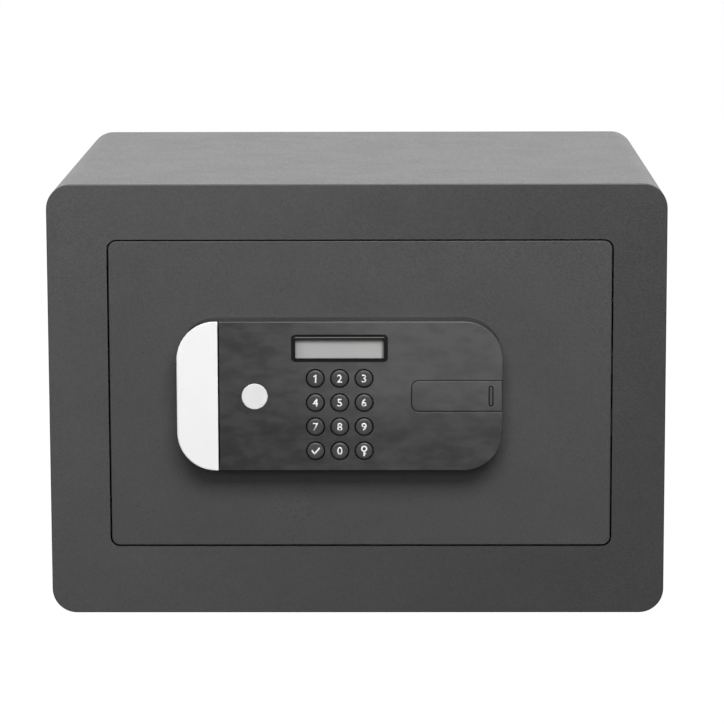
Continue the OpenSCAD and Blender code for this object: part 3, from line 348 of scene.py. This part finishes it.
class Finish(Shading):
    """One material with its Principled shader."""

    def __init__(self, name, colour, roughness=0.5, metallic=0.0, **sockets):
        self.material = bpy.data.materials.new(name)
        self.material.use_nodes = True
        super().__init__(self.material.node_tree)
        self.shader = self.tree.nodes["Principled BSDF"]
        self.material.diffuse_color = (*colour, 1)
        self.shader.inputs["Base Color"].default_value = (*colour, 1)
        self.shader.inputs["Roughness"].default_value = roughness
        self.shader.inputs["Metallic"].default_value = metallic
        for socket, value in sockets.items():
            self.shader.inputs[socket.replace("_", " ")].default_value = value

    def place(self):
        """Object coordinates, in metres."""
        return self.node("ShaderNodeTexCoord", output="Object")

    def along(self, axis):
        """The Object coordinate along one axis."""
        return self.node("ShaderNodeSeparateXYZ", {"Vector": self.place()}, output=axis)

    def stretched(self, scale):
        """Object coordinates scaled along each axis."""
        return self.node("ShaderNodeMapping", {"Vector": self.place(), "Scale": scale}, vector_type="POINT")

    def noise(self, size, detail=3.0, rough=0.5, where=None):
        """Noise whose features are about size metres across."""
        inputs = {"Vector": where or self.place(), "Scale": 1 / size, "Detail": detail, "Roughness": rough}
        return self.node("ShaderNodeTexNoise", inputs)

    def cells(self, size, randomness=1.0):
        """The distance to the nearest of many points that stand about size metres apart."""
        inputs = {"Vector": self.place(), "Scale": 1 / size, "Randomness": randomness}
        return self.node("ShaderNodeTexVoronoi", inputs, output="Distance", feature="F1")

    def painted_sheen_ramp(self, low, high):
        """Painted sheen: 0 at the lower left of a box seen from the front, and 1 at its upper right."""
        width = high.x - low.x
        height = high.z - low.z
        across = self.along("X").between(low.x, low.x + 0.65 * width)
        up = self.along("Z").between(low.z + 0.2 * height, low.z + 0.6 * height)
        from_left = across * 0.33
        from_below = up * 0.24
        from_both = across * up * 0.43
        return from_left + from_below + from_both

    def inside(self, low, high, soft):
        """1 within a box seen from the front, and 0 outside it, over a soft edge."""
        x = self.along("X")
        z = self.along("Z")
        across = x.between(low.x - soft, low.x) * (1 - x.between(high.x, high.x + soft))
        return across * z.between(low.z - soft, low.z) * (1 - z.between(high.z, high.z + soft))

    def mix(self, factor, first, second):
        """A colour between two others."""
        inputs = {"Factor": factor, 6: first, 7: second}
        return self.node("ShaderNodeMix", inputs, output=2, data_type="RGBA")

    def paint(self, tone):
        """Gives the shader its colour, and keeps it for what darkens it further."""
        self.tone = tone
        self.feed(self.shader.inputs["Base Color"], tone)

    def shade(self, colour, amount, factor):
        """Paints a colour that a factor from 0 to 1 makes darker or lighter by an amount."""
        dark = tuple(c * (1 - amount) for c in colour) + (1,)
        light = tuple(min(1, c * (1 + amount)) for c in colour) + (1,)
        self.paint(self.mix(factor, dark, light))

    def fade(self, low, high, amount):
        """Painted shade that darkens by an amount from the left side of a box to its right side."""
        across = self.along("X").between(low.x, high.x)
        self.paint(self.mix(across * amount, self.tone, (0, 0, 0, 1)))

    def sunk(self, face, depth, colour, within=1.0):
        """Turns to another colour on walls and floors that lie deeper than a face at the front."""
        below = self.along("Y").between(face + depth, face + 1.5 * depth) * within
        self.paint(self.mix(below, self.tone, (*colour, 1)))

    def rough(self, value):
        """Gives the shader its roughness."""
        self.feed(self.shader.inputs["Roughness"], value)

    def bump(self, height, distance):
        """Gives the shader a relief of a height from 0 to 1 over a distance in metres."""
        inputs = {"Height": height, "Distance": distance, "Strength": 1.0}
        self.feed(self.shader.inputs["Normal"], self.node("ShaderNodeBump", inputs))


# Finishes

def powder_coat(name, colour, grain, box=None, fade=0.0):
    """Fine matte powder coat: a pebbled skin with a faint cloudiness.

    Over a box, painted shade also darkens the tone from its left side to its right side.
    """
    roughness = 0.32
    finish = Finish(name, colour, roughness)
    pebble = finish.noise(grain, detail=2.0, rough=0.55)
    dust = finish.noise(grain * 0.35, detail=1.0)
    cloud = finish.noise(38 * MM, rough=0.6)
    haze = finish.noise(26 * MM, detail=5.0, rough=0.6)
    speckle = pebble.between() * 0.4 + dust.between(0.35, 0.7) * 0.4
    finish.shade(colour, amount=0.2, factor=cloud.between(0.25, 0.75) * 0.2 + speckle)
    if box:
        finish.fade(*box, fade)
    finish.rough(roughness - 0.05 + 0.12 * pebble.between() + 0.03 * haze.between())
    finish.bump(pebble * 0.7 + dust * 0.3, distance=0.08 * MM)
    return finish.material


def satin_plastic(name, colour, amount=0.14, roughness=0.36, box=None, face=None, field=None):
    """Dark moulded plastic with a fine spark-eroded skin and a cloudy sheen.

    Over a box, painted sheen lightens the tone from its lower left to its upper right. Below a
    face, painted shade turns the plastic nearly black in the gaps and grooves, and on the flares
    of the holes in a field of the face.
    """
    gap_depth = 0.55 * MM
    flare_depth = 0.03 * MM
    field_edge = 0.5 * MM
    finish = Finish(name, colour, roughness)
    skin = finish.noise(0.32 * MM, detail=2.0, rough=0.6)
    cloud = finish.noise(6 * MM, detail=4.0, rough=0.62, where=finish.stretched((0.5, 1.0, 1.0)))
    # Over a box, painted sheen from lower left to upper right; without one, a random drift of tone
    painted_sheen_or_drift = finish.painted_sheen_ramp(*box) if box else finish.noise(55 * MM, detail=2.0).between()
    finish.shade(colour, amount, painted_sheen_or_drift * 0.9 + cloud.between(0.25, 0.75) * 0.3 + skin * 0.2 - 0.2)
    finish.rough(roughness - 0.05 + 0.14 * cloud.between() + 0.05 * skin)
    if face is not None:
        # Painted shade: nearly black deeper than the face, in gaps and grooves, and on hole flares in the
        # field
        black = [c * 0.15 for c in colour]
        finish.sunk(face, gap_depth, black)
        if field:
            finish.sunk(face, flare_depth, black, finish.inside(*field, field_edge))
    finish.bump(skin, distance=0.02 * MM)
    return finish.material


def plain_plastic(
    name, colour, roughness, skin_size=0.4 * MM, relief=0.012 * MM, amount=0.03, face=None, body=None,
):
    """Moulded plastic with a fine skin. With a face, it is a skin of one colour over a body of another."""
    skin_depth = 0.5 * MM
    finish = Finish(name, colour, roughness)
    skin = finish.noise(skin_size, detail=2.0)
    finish.shade(colour, amount, finish.noise(12 * MM).between())
    finish.rough(roughness - 0.03 + 0.06 * skin)
    if face is not None:
        finish.sunk(face, skin_depth, body)
    finish.bump(skin, relief)
    return finish.material


def gloss_plastic(name, colour, roughness=0.08):
    """Polished plastic with a slight orange peel."""
    finish = Finish(name, colour, roughness, Coat_Weight=0.3, Coat_Roughness=0.04)
    peel = finish.noise(2.5 * MM, detail=1.0)
    smear = finish.noise(7 * MM)
    finish.shade(colour, amount=0.05, factor=smear)
    finish.rough(roughness + 0.08 * smear.between(0.4, 0.8))
    finish.bump(peel, distance=0.01 * MM)
    return finish.material


def brushed_metal(name, colour, roughness, grain=ALONG_X):
    """Metal with fine scratches that run with its grain."""
    finish = Finish(name, colour, roughness, metallic=1.0)
    scratch = finish.noise(0.35 * MM, rough=0.7, where=finish.stretched(grain))
    patch = finish.noise(14 * MM)
    finish.shade(colour, amount=0.10, factor=scratch * 0.6 + patch * 0.4)
    finish.rough(roughness - 0.06 + 0.16 * scratch.between(0.3, 0.75))
    finish.bump(scratch, distance=0.008 * MM)
    return finish.material


def zinc_plate(name, colour):
    """Zinc plated sheet with its cloudy crystals."""
    roughness = 0.34
    finish = Finish(name, colour, roughness, metallic=1.0)
    crystal = finish.cells(2.2 * MM)
    haze = finish.noise(6 * MM, detail=4.0)
    finish.shade(colour, amount=0.08, factor=crystal * 0.4 + haze * 0.6)
    finish.rough(roughness - 0.05 + 0.14 * haze.between())
    finish.bump(crystal, distance=0.006 * MM)
    return finish.material


def felt(name, colour):
    """Needle felt: short matted fibres."""
    finish = Finish(
        name, colour, roughness=0.95, Specular_IOR_Level=0.15, Sheen_Weight=0.35, Sheen_Roughness=0.6,
    )
    fibre = finish.noise(0.9 * MM, detail=5.0, rough=0.75, where=finish.stretched((1.0, 0.35, 1.0)))
    cross = finish.noise(0.8 * MM, detail=4.0, rough=0.75, where=finish.stretched((0.3, 1.0, 1.0)))
    fleck = finish.noise(0.5 * MM, detail=1.0).between(0.66, 0.74)
    finish.shade(colour, amount=0.55, factor=fibre * 0.4 + cross * 0.4 + fleck * 0.5)
    finish.bump(fibre * 0.5 + cross * 0.5, distance=0.5 * MM)
    return finish.material


def circuit_board(name, colour, tin):
    """Solder mask over copper tracks, with rows of tinned pads."""
    track_pitch = 11 * MM
    pad_pitch = 3.2 * MM
    finish = Finish(name, colour, roughness=0.32, Coat_Weight=0.4)
    tracks = finish.node(
        "ShaderNodeTexBrick",
        {"Vector": finish.place(), "Scale": 1 / track_pitch, "Mortar Size": 0.035},
        output="Fac", offset=0.37, squash=1.6, squash_frequency=3,
    )
    pad = 1 - finish.cells(pad_pitch, randomness=0.25).between(0.16, 0.19)
    over_copper = (*[c * 1.8 for c in colour], 1)
    mask = finish.mix(tracks, (*colour, 1), over_copper)
    finish.paint(finish.mix(pad, mask, (*tin, 1)))
    finish.feed(finish.shader.inputs["Metallic"], pad)
    finish.bump(tracks * 0.6 + pad, distance=0.05 * MM)
    return finish.material


def display_glass(name):
    """A clear window that keeps only its reflections."""
    finish = Finish(
        name, (0.02, 0.02, 0.02), roughness=0.04, Alpha=0.10, Coat_Weight=1.0, Coat_Roughness=0.02,
    )
    finish.rough(0.03 + 0.03 * finish.noise(8 * MM, detail=2.0))
    return finish.material


def unlit_display(name, colour, low, high):
    """Grey liquid crystal glass with painted bezel shadow on its top and right; its left a little darker.
    """
    upper_band = (high.z - 3.6 * MM, high.z - 0.4 * MM)
    right_band = (high.x - 2.6 * MM, high.x)
    left_band = (low.x, low.x + 7 * MM)
    shadow = (*[c * 0.08 for c in colour], 1)
    finish = Finish(name, colour, roughness=0.45, Specular_IOR_Level=0.2)
    grain = finish.noise(0.25 * MM, detail=1.0)
    cloud = finish.noise(20 * MM, detail=2.0)
    finish.shade(colour, amount=0.05, factor=cloud * 0.7 + grain * 0.3)
    upper = finish.along("Z").between(*upper_band)
    right = 0.75 * finish.along("X").between(*right_band)
    left = 0.18 * (1 - finish.along("X").between(*left_band))
    # Painted shadow of the bezel at the top and right, and a slight darkening at the left
    edge = 1 - (1 - upper) * (1 - right) * (1 - left)
    finish.paint(finish.mix(edge, finish.tone, shadow))
    finish.bump(grain, distance=0.004 * MM)
    return finish.material


def cell_sleeve(name, colour, band, low, high):
    """A shrink sleeve over cells that lie in a box, with a band of another colour at its right end."""
    band_start = low.x + (high.x - low.x) * 0.7
    band_edge = 0.2 * MM
    finish = Finish(name, colour, roughness=0.25, metallic=0.3, Coat_Weight=0.5)
    stripe = finish.along("X").between(band_start, band_start + band_edge)
    finish.paint(finish.mix(stripe, (*colour, 1), (*band, 1)))
    finish.bump(finish.noise(3 * MM, detail=2.0), distance=0.02 * MM)
    return finish.material


def printed_ink(name, colour):
    """Bright pad-printed ink."""
    finish = Finish(name, colour)
    finish.shade(colour, amount=0.02, factor=finish.noise(0.3 * MM, detail=2.0))
    finish.bump(finish.noise(0.15 * MM, detail=1.0), distance=0.004 * MM)
    return finish.material


def put(material, *names):
    """Gives the named CAD nodes one material."""
    for name in names:
        slots = NODES[name].data.materials
        slots.clear()
        slots.append(material)


# Modelling helpers

def deselect():
    """Leaves edit mode and selects nothing."""
    if bpy.context.object and bpy.context.object.mode != "OBJECT":
        bpy.ops.object.mode_set(mode="OBJECT")
    bpy.ops.object.select_all(action="DESELECT")


def only(obj):
    """Makes obj the one selected and active object."""
    deselect()
    obj.select_set(True)
    bpy.context.view_layer.objects.active = obj


def apply_place(obj):
    """Moves obj's place, turn and scale into its mesh."""
    only(obj)
    bpy.ops.object.transform_apply(location=True, rotation=True, scale=True)
    return obj


def modifier(obj, kind, **settings):
    """Adds a modifier, sets it and applies it."""
    only(obj)
    made = obj.modifiers.new(kind.title(), kind)
    for key, value in settings.items():
        setattr(made, key, value)
    bpy.ops.object.modifier_apply(modifier=made.name)


def finished(obj, name, body, material, smooth=True):
    """Names a new piece, gives it its finish and lets it ride on a body."""
    only(obj)
    obj.name = name
    obj.data.name = name
    obj.data.materials.clear()
    obj.data.materials.append(material)
    if smooth:
        bpy.ops.object.shade_smooth_by_angle(angle=SMOOTH_ANGLE)
    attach(obj, body)


def centred(obj):
    """Moves a flat sign so that the middle of its outline is at the origin, seen from the front."""
    xs = [v.co.x for v in obj.data.vertices]
    zs = [v.co.z for v in obj.data.vertices]
    obj.location = (-(min(xs) + max(xs)) / 2, 0, -(min(zs) + max(zs)) / 2)
    return apply_place(obj)


def flat_strip(start, end, width, y):
    """A flat strip from start to end in the X and Z plane."""
    run = Vector(end) - Vector(start)
    middle = (Vector(start) + Vector(end)) / 2
    deselect()
    bpy.ops.mesh.primitive_plane_add(
        size=1, location=(middle.x, y, middle.y),
        rotation=(math.pi / 2, -math.atan2(run.y, run.x), 0),
    )
    strip = bpy.context.object
    strip.scale = (run.length, width, 1)
    return apply_place(strip)


def joined(parts):
    """Makes several meshes one."""
    deselect()
    for part in parts:
        part.select_set(True)
    bpy.context.view_layer.objects.active = parts[0]
    bpy.ops.object.join()
    return bpy.context.object


def inked(sign, thickness):
    """Gives a flat sign the thickness of its ink."""
    only(sign)
    bpy.ops.object.mode_set(mode="EDIT")
    bpy.ops.mesh.select_all(action="SELECT")
    bpy.ops.mesh.remove_doubles(threshold=MERGE_DISTANCE)
    bpy.ops.mesh.extrude_region_move(TRANSFORM_OT_translate={"value": (0, -thickness, 0)})
    bpy.ops.mesh.select_all(action="SELECT")
    bpy.ops.mesh.normals_make_consistent(inside=False)
    bpy.ops.object.mode_set(mode="OBJECT")


# Signs on the keys, flat, seen from the front and about the origin

def digit_sign(text, y, settings):
    """A digit in Blender's own typeface, scaled to the height of the signs."""
    deselect()
    bpy.ops.object.text_add(location=(0, y, 0), rotation=(math.pi / 2, 0, 0))
    sign = bpy.context.object
    sign.data.body = text
    sign.data.size = 1.0
    sign.data.offset = settings.boldness
    sign.data.resolution_u = DIGIT_CURVE_STEPS
    only(sign)
    bpy.ops.object.convert(target="MESH")
    sign = bpy.context.object
    tall = max(v.co.y for v in sign.data.vertices) - min(v.co.y for v in sign.data.vertices)
    sign.scale = (settings.height / tall,) * 3
    return centred(apply_place(sign))


def one_sign(y, settings):
    """The digit 1: an upright stroke with a flag."""
    top = settings.height / 2
    upright_x = 0.25 * MM
    flag_tip = (-1.0 * MM, top - 1.15 * MM)
    flag_root = (0.1 * MM, top - 0.45 * MM)
    flag_width = settings.stroke * 0.8
    return joined([
        flat_strip((upright_x, -top), (upright_x, top), settings.stroke, y),
        flat_strip(flag_tip, flag_root, flag_width, y),
    ])


def tick_sign(y, settings):
    """A tick from two strips whose ends meet at the foot."""
    short_end = (-2.2 * MM, 0.5 * MM)
    foot = (-0.55 * MM, -1.5 * MM)
    long_end = (2.3 * MM, 1.8 * MM)
    short_direction = (0.62, -0.78)
    overrun = settings.stroke / 2
    heel = (foot[0] + overrun * short_direction[0], foot[1] + overrun * short_direction[1])
    return joined([
        flat_strip(short_end, heel, settings.stroke, y),
        flat_strip(foot, long_end, settings.stroke, y),
    ])


def key_sign(y, settings):
    """A key: a ring, a stem and its bit."""
    ring_z = 1.3 * MM
    ring_outside = 1.8 * MM
    ring_inside = 0.95 * MM
    stem_top = -0.3 * MM
    stem_foot = -2.9 * MM
    stem_width = 0.95 * MM
    bit_z = -1.45 * MM
    bit_start = 0.3 * MM
    bit_end = 1.1 * MM
    bit_width = 0.7 * MM
    deselect()
    bpy.ops.mesh.primitive_circle_add(
        vertices=settings.ring_points, radius=ring_inside, location=(0, y, ring_z),
        rotation=(math.pi / 2, 0, 0),
    )
    ring = apply_place(bpy.context.object)
    growth = ring_outside / ring_inside
    bpy.ops.object.mode_set(mode="EDIT")
    bpy.ops.mesh.select_all(action="SELECT")
    bpy.ops.mesh.extrude_region_move(TRANSFORM_OT_translate={"value": (0, 0, 0)})
    bpy.ops.transform.resize(value=(growth, 1, growth))
    bpy.ops.object.mode_set(mode="OBJECT")
    return joined([
        ring,
        flat_strip((0, stem_top), (0, stem_foot), stem_width, y),
        flat_strip((bit_start, bit_z), (bit_end, bit_z), bit_width, y),
    ])


def sign_for(text, y, settings):
    """The flat sign for one legend, at y."""
    drawn = {"1": one_sign, "tick": tick_sign, "key": key_sign}
    if text in drawn:
        return drawn[text](y, settings)
    return digit_sign(text, y, settings)


# Operators

class SAFE_OT_stage(Operator):
    """Sets up the white floor, the studio light and the camera"""

    bl_idname = "safe.stage"
    bl_label = "Stage"

    def execute(self, context):
        settings = context.scene.safe_stage
        context.scene.view_settings.view_transform = "Standard"
        self.floor(settings)
        self.world(context.scene, settings)
        for name, place, sides, power, mirrored in LAMPS:
            self.lamp(name, place, sides, getattr(settings, power), mirrored)
        self.camera(context.scene, settings)
        return {"FINISHED"}

    def floor(self, settings):
        """A dark floor that is white to the camera, so that it keeps the safe's shadow."""
        deselect()
        bpy.ops.mesh.primitive_plane_add(size=settings.floor_side, location=(0, 0, 0))
        floor = bpy.context.object
        floor.name = "floor"
        finish = Finish("white floor", tuple(settings.floor_colour), roughness=0.9, Specular_IOR_Level=0.1)
        seen, mirrored = finish.ray_kinds()
        strength = seen * settings.floor_glow + mirrored * settings.floor_mirror
        glow = finish.node("ShaderNodeEmission", {"Color": (1, 1, 1, 1), "Strength": strength})
        surface = Wire(finish, finish.shader.outputs[0])
        both = finish.node("ShaderNodeAddShader", {0: surface, 1: glow})
        finish.feed(finish.tree.nodes["Material Output"].inputs["Surface"], both)
        floor.data.materials.append(finish.material)

    def world(self, scene, settings):
        """White to the camera, dim as a light, and in reflections dark in front and white behind."""
        world = bpy.data.worlds.new("studio")
        world.use_nodes = True
        scene.world = world
        sky = Shading(world.node_tree)
        seen, mirrored = sky.ray_kinds()
        direction = sky.node("ShaderNodeTexCoord", output="Generated")
        depth = sky.node("ShaderNodeSeparateXYZ", {"Vector": direction}, output="Y")
        room = settings.front_level + (1 - settings.front_level) * depth.between(*ROOM_EDGE)
        level = seen + (1 - seen) * (mirrored * room + (1 - mirrored) * settings.sky_level)
        shader = sky.tree.nodes["Background"]
        sky.feed(shader.inputs["Color"], (1, 1, 1, 1))
        sky.feed(shader.inputs["Strength"], level)

    def lamp(self, name, place, sides, power, mirrored):
        """A rectangular lamp that points at the safe."""
        deselect()
        aim = (LAMP_TARGET - Vector(place)).to_track_quat("-Z", "Y").to_euler()
        bpy.ops.object.light_add(type="AREA", location=place, rotation=aim)
        lamp = bpy.context.object
        lamp.name = name
        lamp.data.shape = "RECTANGLE"
        lamp.data.size, lamp.data.size_y = sides
        lamp.data.energy = power
        lamp.visible_glossy = mirrored

    def camera(self, scene, settings):
        """The camera that sees the safe from where the photograph was taken."""
        deselect()
        bpy.ops.object.camera_add()
        camera = bpy.context.object
        camera.name = "photo camera"
        camera.data.lens = settings.lens
        camera.data.sensor_width = SENSOR_WIDTH
        camera.data.clip_end = VIEW_DEPTH
        turn = (
            Matrix.Rotation(-settings.yaw, 4, "Z")
            @ Matrix.Rotation(math.pi / 2 - settings.pitch, 4, "X")
            @ Matrix.Rotation(settings.roll, 4, "Z")
        )
        camera.matrix_world = Matrix.Translation(settings.eye) @ turn
        scene.camera = camera


class SAFE_OT_cabinet(Operator):
    """Coats the cabinet, the door and their steel fittings"""

    bl_idname = "safe.cabinet"
    bl_label = "Cabinet and door"

    def execute(self, context):
        colours = context.scene.safe_finish
        coat = powder_coat("powder coat", tuple(colours.coat), colours.coat_grain)
        put(coat, "cabinet_shell", "back_panel", "door_jamb", "door_plate", "hinge_knuckles")
        # Painted light on the front frame: lighter at its left, with painted shade darkening it towards its
        # right
        painted_lit_left = tuple(c * colours.frame_painted_light for c in colours.coat)
        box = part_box("front_frame")
        frame_coat = powder_coat("frame coat", painted_lit_left, colours.coat_grain, box, colours.frame_painted_falloff)
        put(frame_coat, "front_frame")
        put(powder_coat("case coat", CASE_COAT, grain=1.1 * MM), "mechanism_case")
        put(brushed_metal("hinge steel", HINGE_STEEL, roughness=0.28, grain=ALONG_Z), "hinge_pins")
        put(plain_plastic("bush nylon", BUSH_NYLON, roughness=0.45), "hinge_bushes", "cable_grommet")
        return {"FINISHED"}


class SAFE_OT_floor_mat(Operator):
    """Models the felt mat with its anchor holes"""

    bl_idname = "safe.floor_mat"
    bl_label = "Floor mat"

    def execute(self, context):
        settings = context.scene.safe_mat
        low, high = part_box("floor_mat")
        size = high - low
        deselect()
        bpy.ops.mesh.primitive_cube_add(size=1, location=(low + high) / 2)
        mat = bpy.context.object
        mat.scale = (size.x, size.y, size.z - settings.nap)
        mat.location.z = low.z + (size.z - settings.nap) / 2
        apply_place(mat)
        places = anchor_places()
        for place in places:
            self.cut_hole(mat, place, settings.hole_radius)
        modifier(
            mat, "BEVEL", width=settings.edge, segments=3, limit_method="ANGLE",
            angle_limit=CORNER_ANGLE,
        )
        material = felt("needle felt", tuple(context.scene.safe_finish.felt))
        finished(mat, "felt_mat", "cabinet", material)
        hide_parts("floor_mat")
        return {"FINISHED"}

    def cut_hole(self, mat, place, radius):
        """Cuts a round hole through the mat."""
        deselect()
        bpy.ops.mesh.primitive_cylinder_add(
            vertices=HOLE_FACETS, radius=radius, depth=CUTTER_LENGTH, location=(*place, 0),
        )
        cutter = apply_place(bpy.context.object)
        modifier(mat, "BOOLEAN", operation="DIFFERENCE", object=cutter, solver="EXACT")
        bpy.data.objects.remove(cutter)


def anchor_places():
    """The middles of the four base holes, from the record's mount."""
    mount = next(m for m in frame["record"]["mounts"] if m["name"] == "base_bolts")
    x, y = mount["pos_m"][:2]
    reach_x = mount["dims"]["spacing_x_mm"] * MM / 2
    reach_y = mount["dims"]["spacing_y_mm"] * MM / 2
    return [(x + sx * reach_x, y + sy * reach_y) for sx in (-1, 1) for sy in (-1, 1)]


class SAFE_OT_housing(Operator):
    """Finishes the keypad housing, its end cap, its badge disc and the sliding cover"""

    bl_idname = "safe.housing"
    bl_label = "Keypad housing"

    def execute(self, context):
        colours = context.scene.safe_finish
        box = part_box("fascia")
        face = box[0].y
        # Painted sheen lightens the fascia and cover towards their upper right; painted shade darkens their
        # gaps and hole flares
        shell = satin_plastic(
            "housing plastic", tuple(colours.housing), amount=0.54, box=box, face=face,
            field=self.key_field(),
        )
        put(shell, "fascia", "key_cover")
        # The tub is painted darker than the fascia, as shade on the housing's sides
        put(satin_plastic("tub plastic", tuple(colours.tub), roughness=0.5), "housing_tub")
        # Deeper than its face the cap takes the tub's colour, which is painted darker as shade
        cap = plain_plastic(
            "white plastic", tuple(colours.cap), roughness=0.38, amount=0.008, face=face,
            body=colours.tub,
        )
        put(cap, "end_cap")
        disc = plain_plastic(
            "disc plastic", tuple(colours.disc), roughness=0.45, skin_size=0.6 * MM, relief=0.02 * MM,
        )
        put(disc, "badge_disc")
        return {"FINISHED"}

    def key_field(self):
        """The part of the fascia that holds the display and the keys, seen from the front."""
        margin = Vector((MM, 0, MM))
        low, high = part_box("display_bezel")
        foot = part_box("key_0")[0].z
        return Vector((low.x, 0, foot)) - margin, high + margin


class SAFE_OT_display(Operator):
    """Finishes the display's bezel, window and glass"""

    bl_idname = "safe.display"
    bl_label = "Display"

    def execute(self, context):
        colours = context.scene.safe_finish
        put(gloss_plastic("bezel black", tuple(colours.bezel)), "display_bezel")
        put(display_glass("display window"), "display_lens")
        low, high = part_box("display_bezel")
        rim = Vector((1, 0, 1)) * (high.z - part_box("display_lens")[1].z)
        crystal = unlit_display("liquid crystal", tuple(colours.display), low + rim, high - rim)
        put(crystal, "display_module")
        return {"FINISHED"}


class SAFE_OT_keys(Operator):
    """Finishes the keys and prints their signs"""

    bl_idname = "safe.keys"
    bl_label = "Keys"

    def execute(self, context):
        settings = context.scene.safe_legend
        colours = context.scene.safe_finish
        # Painted shade turns the keys nearly black where they lie deeper than the fascia's face
        caps = satin_plastic(
            "key plastic", tuple(colours.key_caps), amount=0.06, roughness=0.4,
            face=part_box("fascia")[0].y,
        )
        put(caps, *LEGENDS)
        ink = printed_ink("white ink", tuple(colours.ink))
        for name, text in LEGENDS.items():
            low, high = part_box(name)
            # A quarter of the ink lies in the key's face, so that no gap shows
            sign = sign_for(text, low.y + settings.thickness / 4, settings)
            sign.location = ((low.x + high.x) / 2, 0, (low.z + high.z) / 2)
            apply_place(sign)
            inked(sign, settings.thickness)
            finished(sign, "sign_" + name, name + "_cap", ink, smooth=False)
        return {"FINISHED"}


class SAFE_OT_bolt_work(Operator):
    """Finishes the bolts, the carriage, the motor and the key lock"""

    bl_idname = "safe.bolt_work"
    bl_label = "Bolt work"

    def execute(self, context):
        put(
            zinc_plate("zinc plate", ZINC), "bolt_carriage", "bolt_guide", "guide_posts",
            "motor_gearbox", "override_cam", "lock_nut", "cam_nut",
        )
        put(brushed_metal("bolt nickel", BOLT_NICKEL, roughness=0.16), "locking_bolts")
        put(brushed_metal("motor steel", MOTOR_STEEL, roughness=0.25), "motor_can")
        put(
            brushed_metal("brass", BRASS, roughness=0.28, grain=EVEN), "drive_pinion", "guide_screws",
            "lock_plug", "board_standoffs", "battery_contacts",
        )
        put(brushed_metal("lock nickel", LOCK_NICKEL, roughness=0.22, grain=ALONG_Y), "lock_cylinder")
        put(
            brushed_metal("screw steel", SCREW_STEEL, roughness=0.3, grain=EVEN), "inner_cover_screws",
            "housing_screws", "bolt_screws", "gearbox_screws",
        )
        return {"FINISHED"}


class SAFE_OT_inside(Operator):
    """Finishes the inner cover, the battery bay, the boards and the cable"""

    bl_idname = "safe.inside"
    bl_label = "Inside of the door"

    def execute(self, context):
        cover = plain_plastic(
            "cover plastic", COVER_PLASTIC, roughness=0.55, skin_size=0.7 * MM, relief=0.05 * MM,
            amount=0.10,
        )
        put(cover, "inner_cover", "battery_tray", "battery_cover")
        put(gloss_plastic("red plastic", BUTTON_RED, roughness=0.2), "reset_button")
        board = circuit_board("circuit board", SOLDER_MASK, TINNED_COPPER)
        put(board, "keypad_board", "control_board")
        put(plain_plastic("dome rubber", DOME_RUBBER, roughness=0.7), "keypad_mat")
        put(plain_plastic("cable jacket", CABLE_JACKET, roughness=0.5), "keypad_cable", "wire_leads")
        sleeve = cell_sleeve("cell sleeve", CELL_SLEEVE, CELL_BAND, *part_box("battery_cells"))
        put(sleeve, "battery_cells")
        return {"FINISHED"}


class SAFE_PT_panel(Panel):
    """Lists the steps that dress the safe"""

    bl_idname = "SAFE_PT_panel"
    bl_label = "Electronic Safe"
    bl_space_type = "VIEW_3D"
    bl_region_type = "UI"
    bl_category = "Safe"

    def draw(self, context):
        for step in STEPS:
            self.layout.operator(step.bl_idname)
        for group in SETTINGS:
            box = self.layout.box()
            values = getattr(context.scene, group)
            for key in values.bl_rna.properties.keys():
                if key not in {"rna_type", "name"}:
                    box.prop(values, key)


STEPS = (
    SAFE_OT_stage, SAFE_OT_cabinet, SAFE_OT_floor_mat, SAFE_OT_housing, SAFE_OT_display, SAFE_OT_keys,
    SAFE_OT_bolt_work, SAFE_OT_inside,
)
SETTINGS = {
    "safe_stage": StageSettings,
    "safe_finish": FinishSettings,
    "safe_legend": LegendSettings,
    "safe_mat": MatSettings,
}


def register():
    """Registers the settings, the operators and the panel."""
    for cls in (*SETTINGS.values(), *STEPS, SAFE_PT_panel):
        bpy.utils.register_class(cls)
    for name, cls in SETTINGS.items():
        setattr(bpy.types.Scene, name, PointerProperty(type=cls))


def unregister():
    """Takes back what register does."""
    for name in SETTINGS:
        delattr(bpy.types.Scene, name)
    for cls in (SAFE_PT_panel, *reversed(STEPS), *reversed(SETTINGS.values())):
        bpy.utils.unregister_class(cls)


def main():
    """Dresses the safe."""
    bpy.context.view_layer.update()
    register()
    bpy.ops.safe.stage()
    bpy.ops.safe.cabinet()
    bpy.ops.safe.floor_mat()
    bpy.ops.safe.housing()
    bpy.ops.safe.display()
    bpy.ops.safe.keys()
    bpy.ops.safe.bolt_work()
    bpy.ops.safe.inside()


if __name__ == "__main__":
    main()
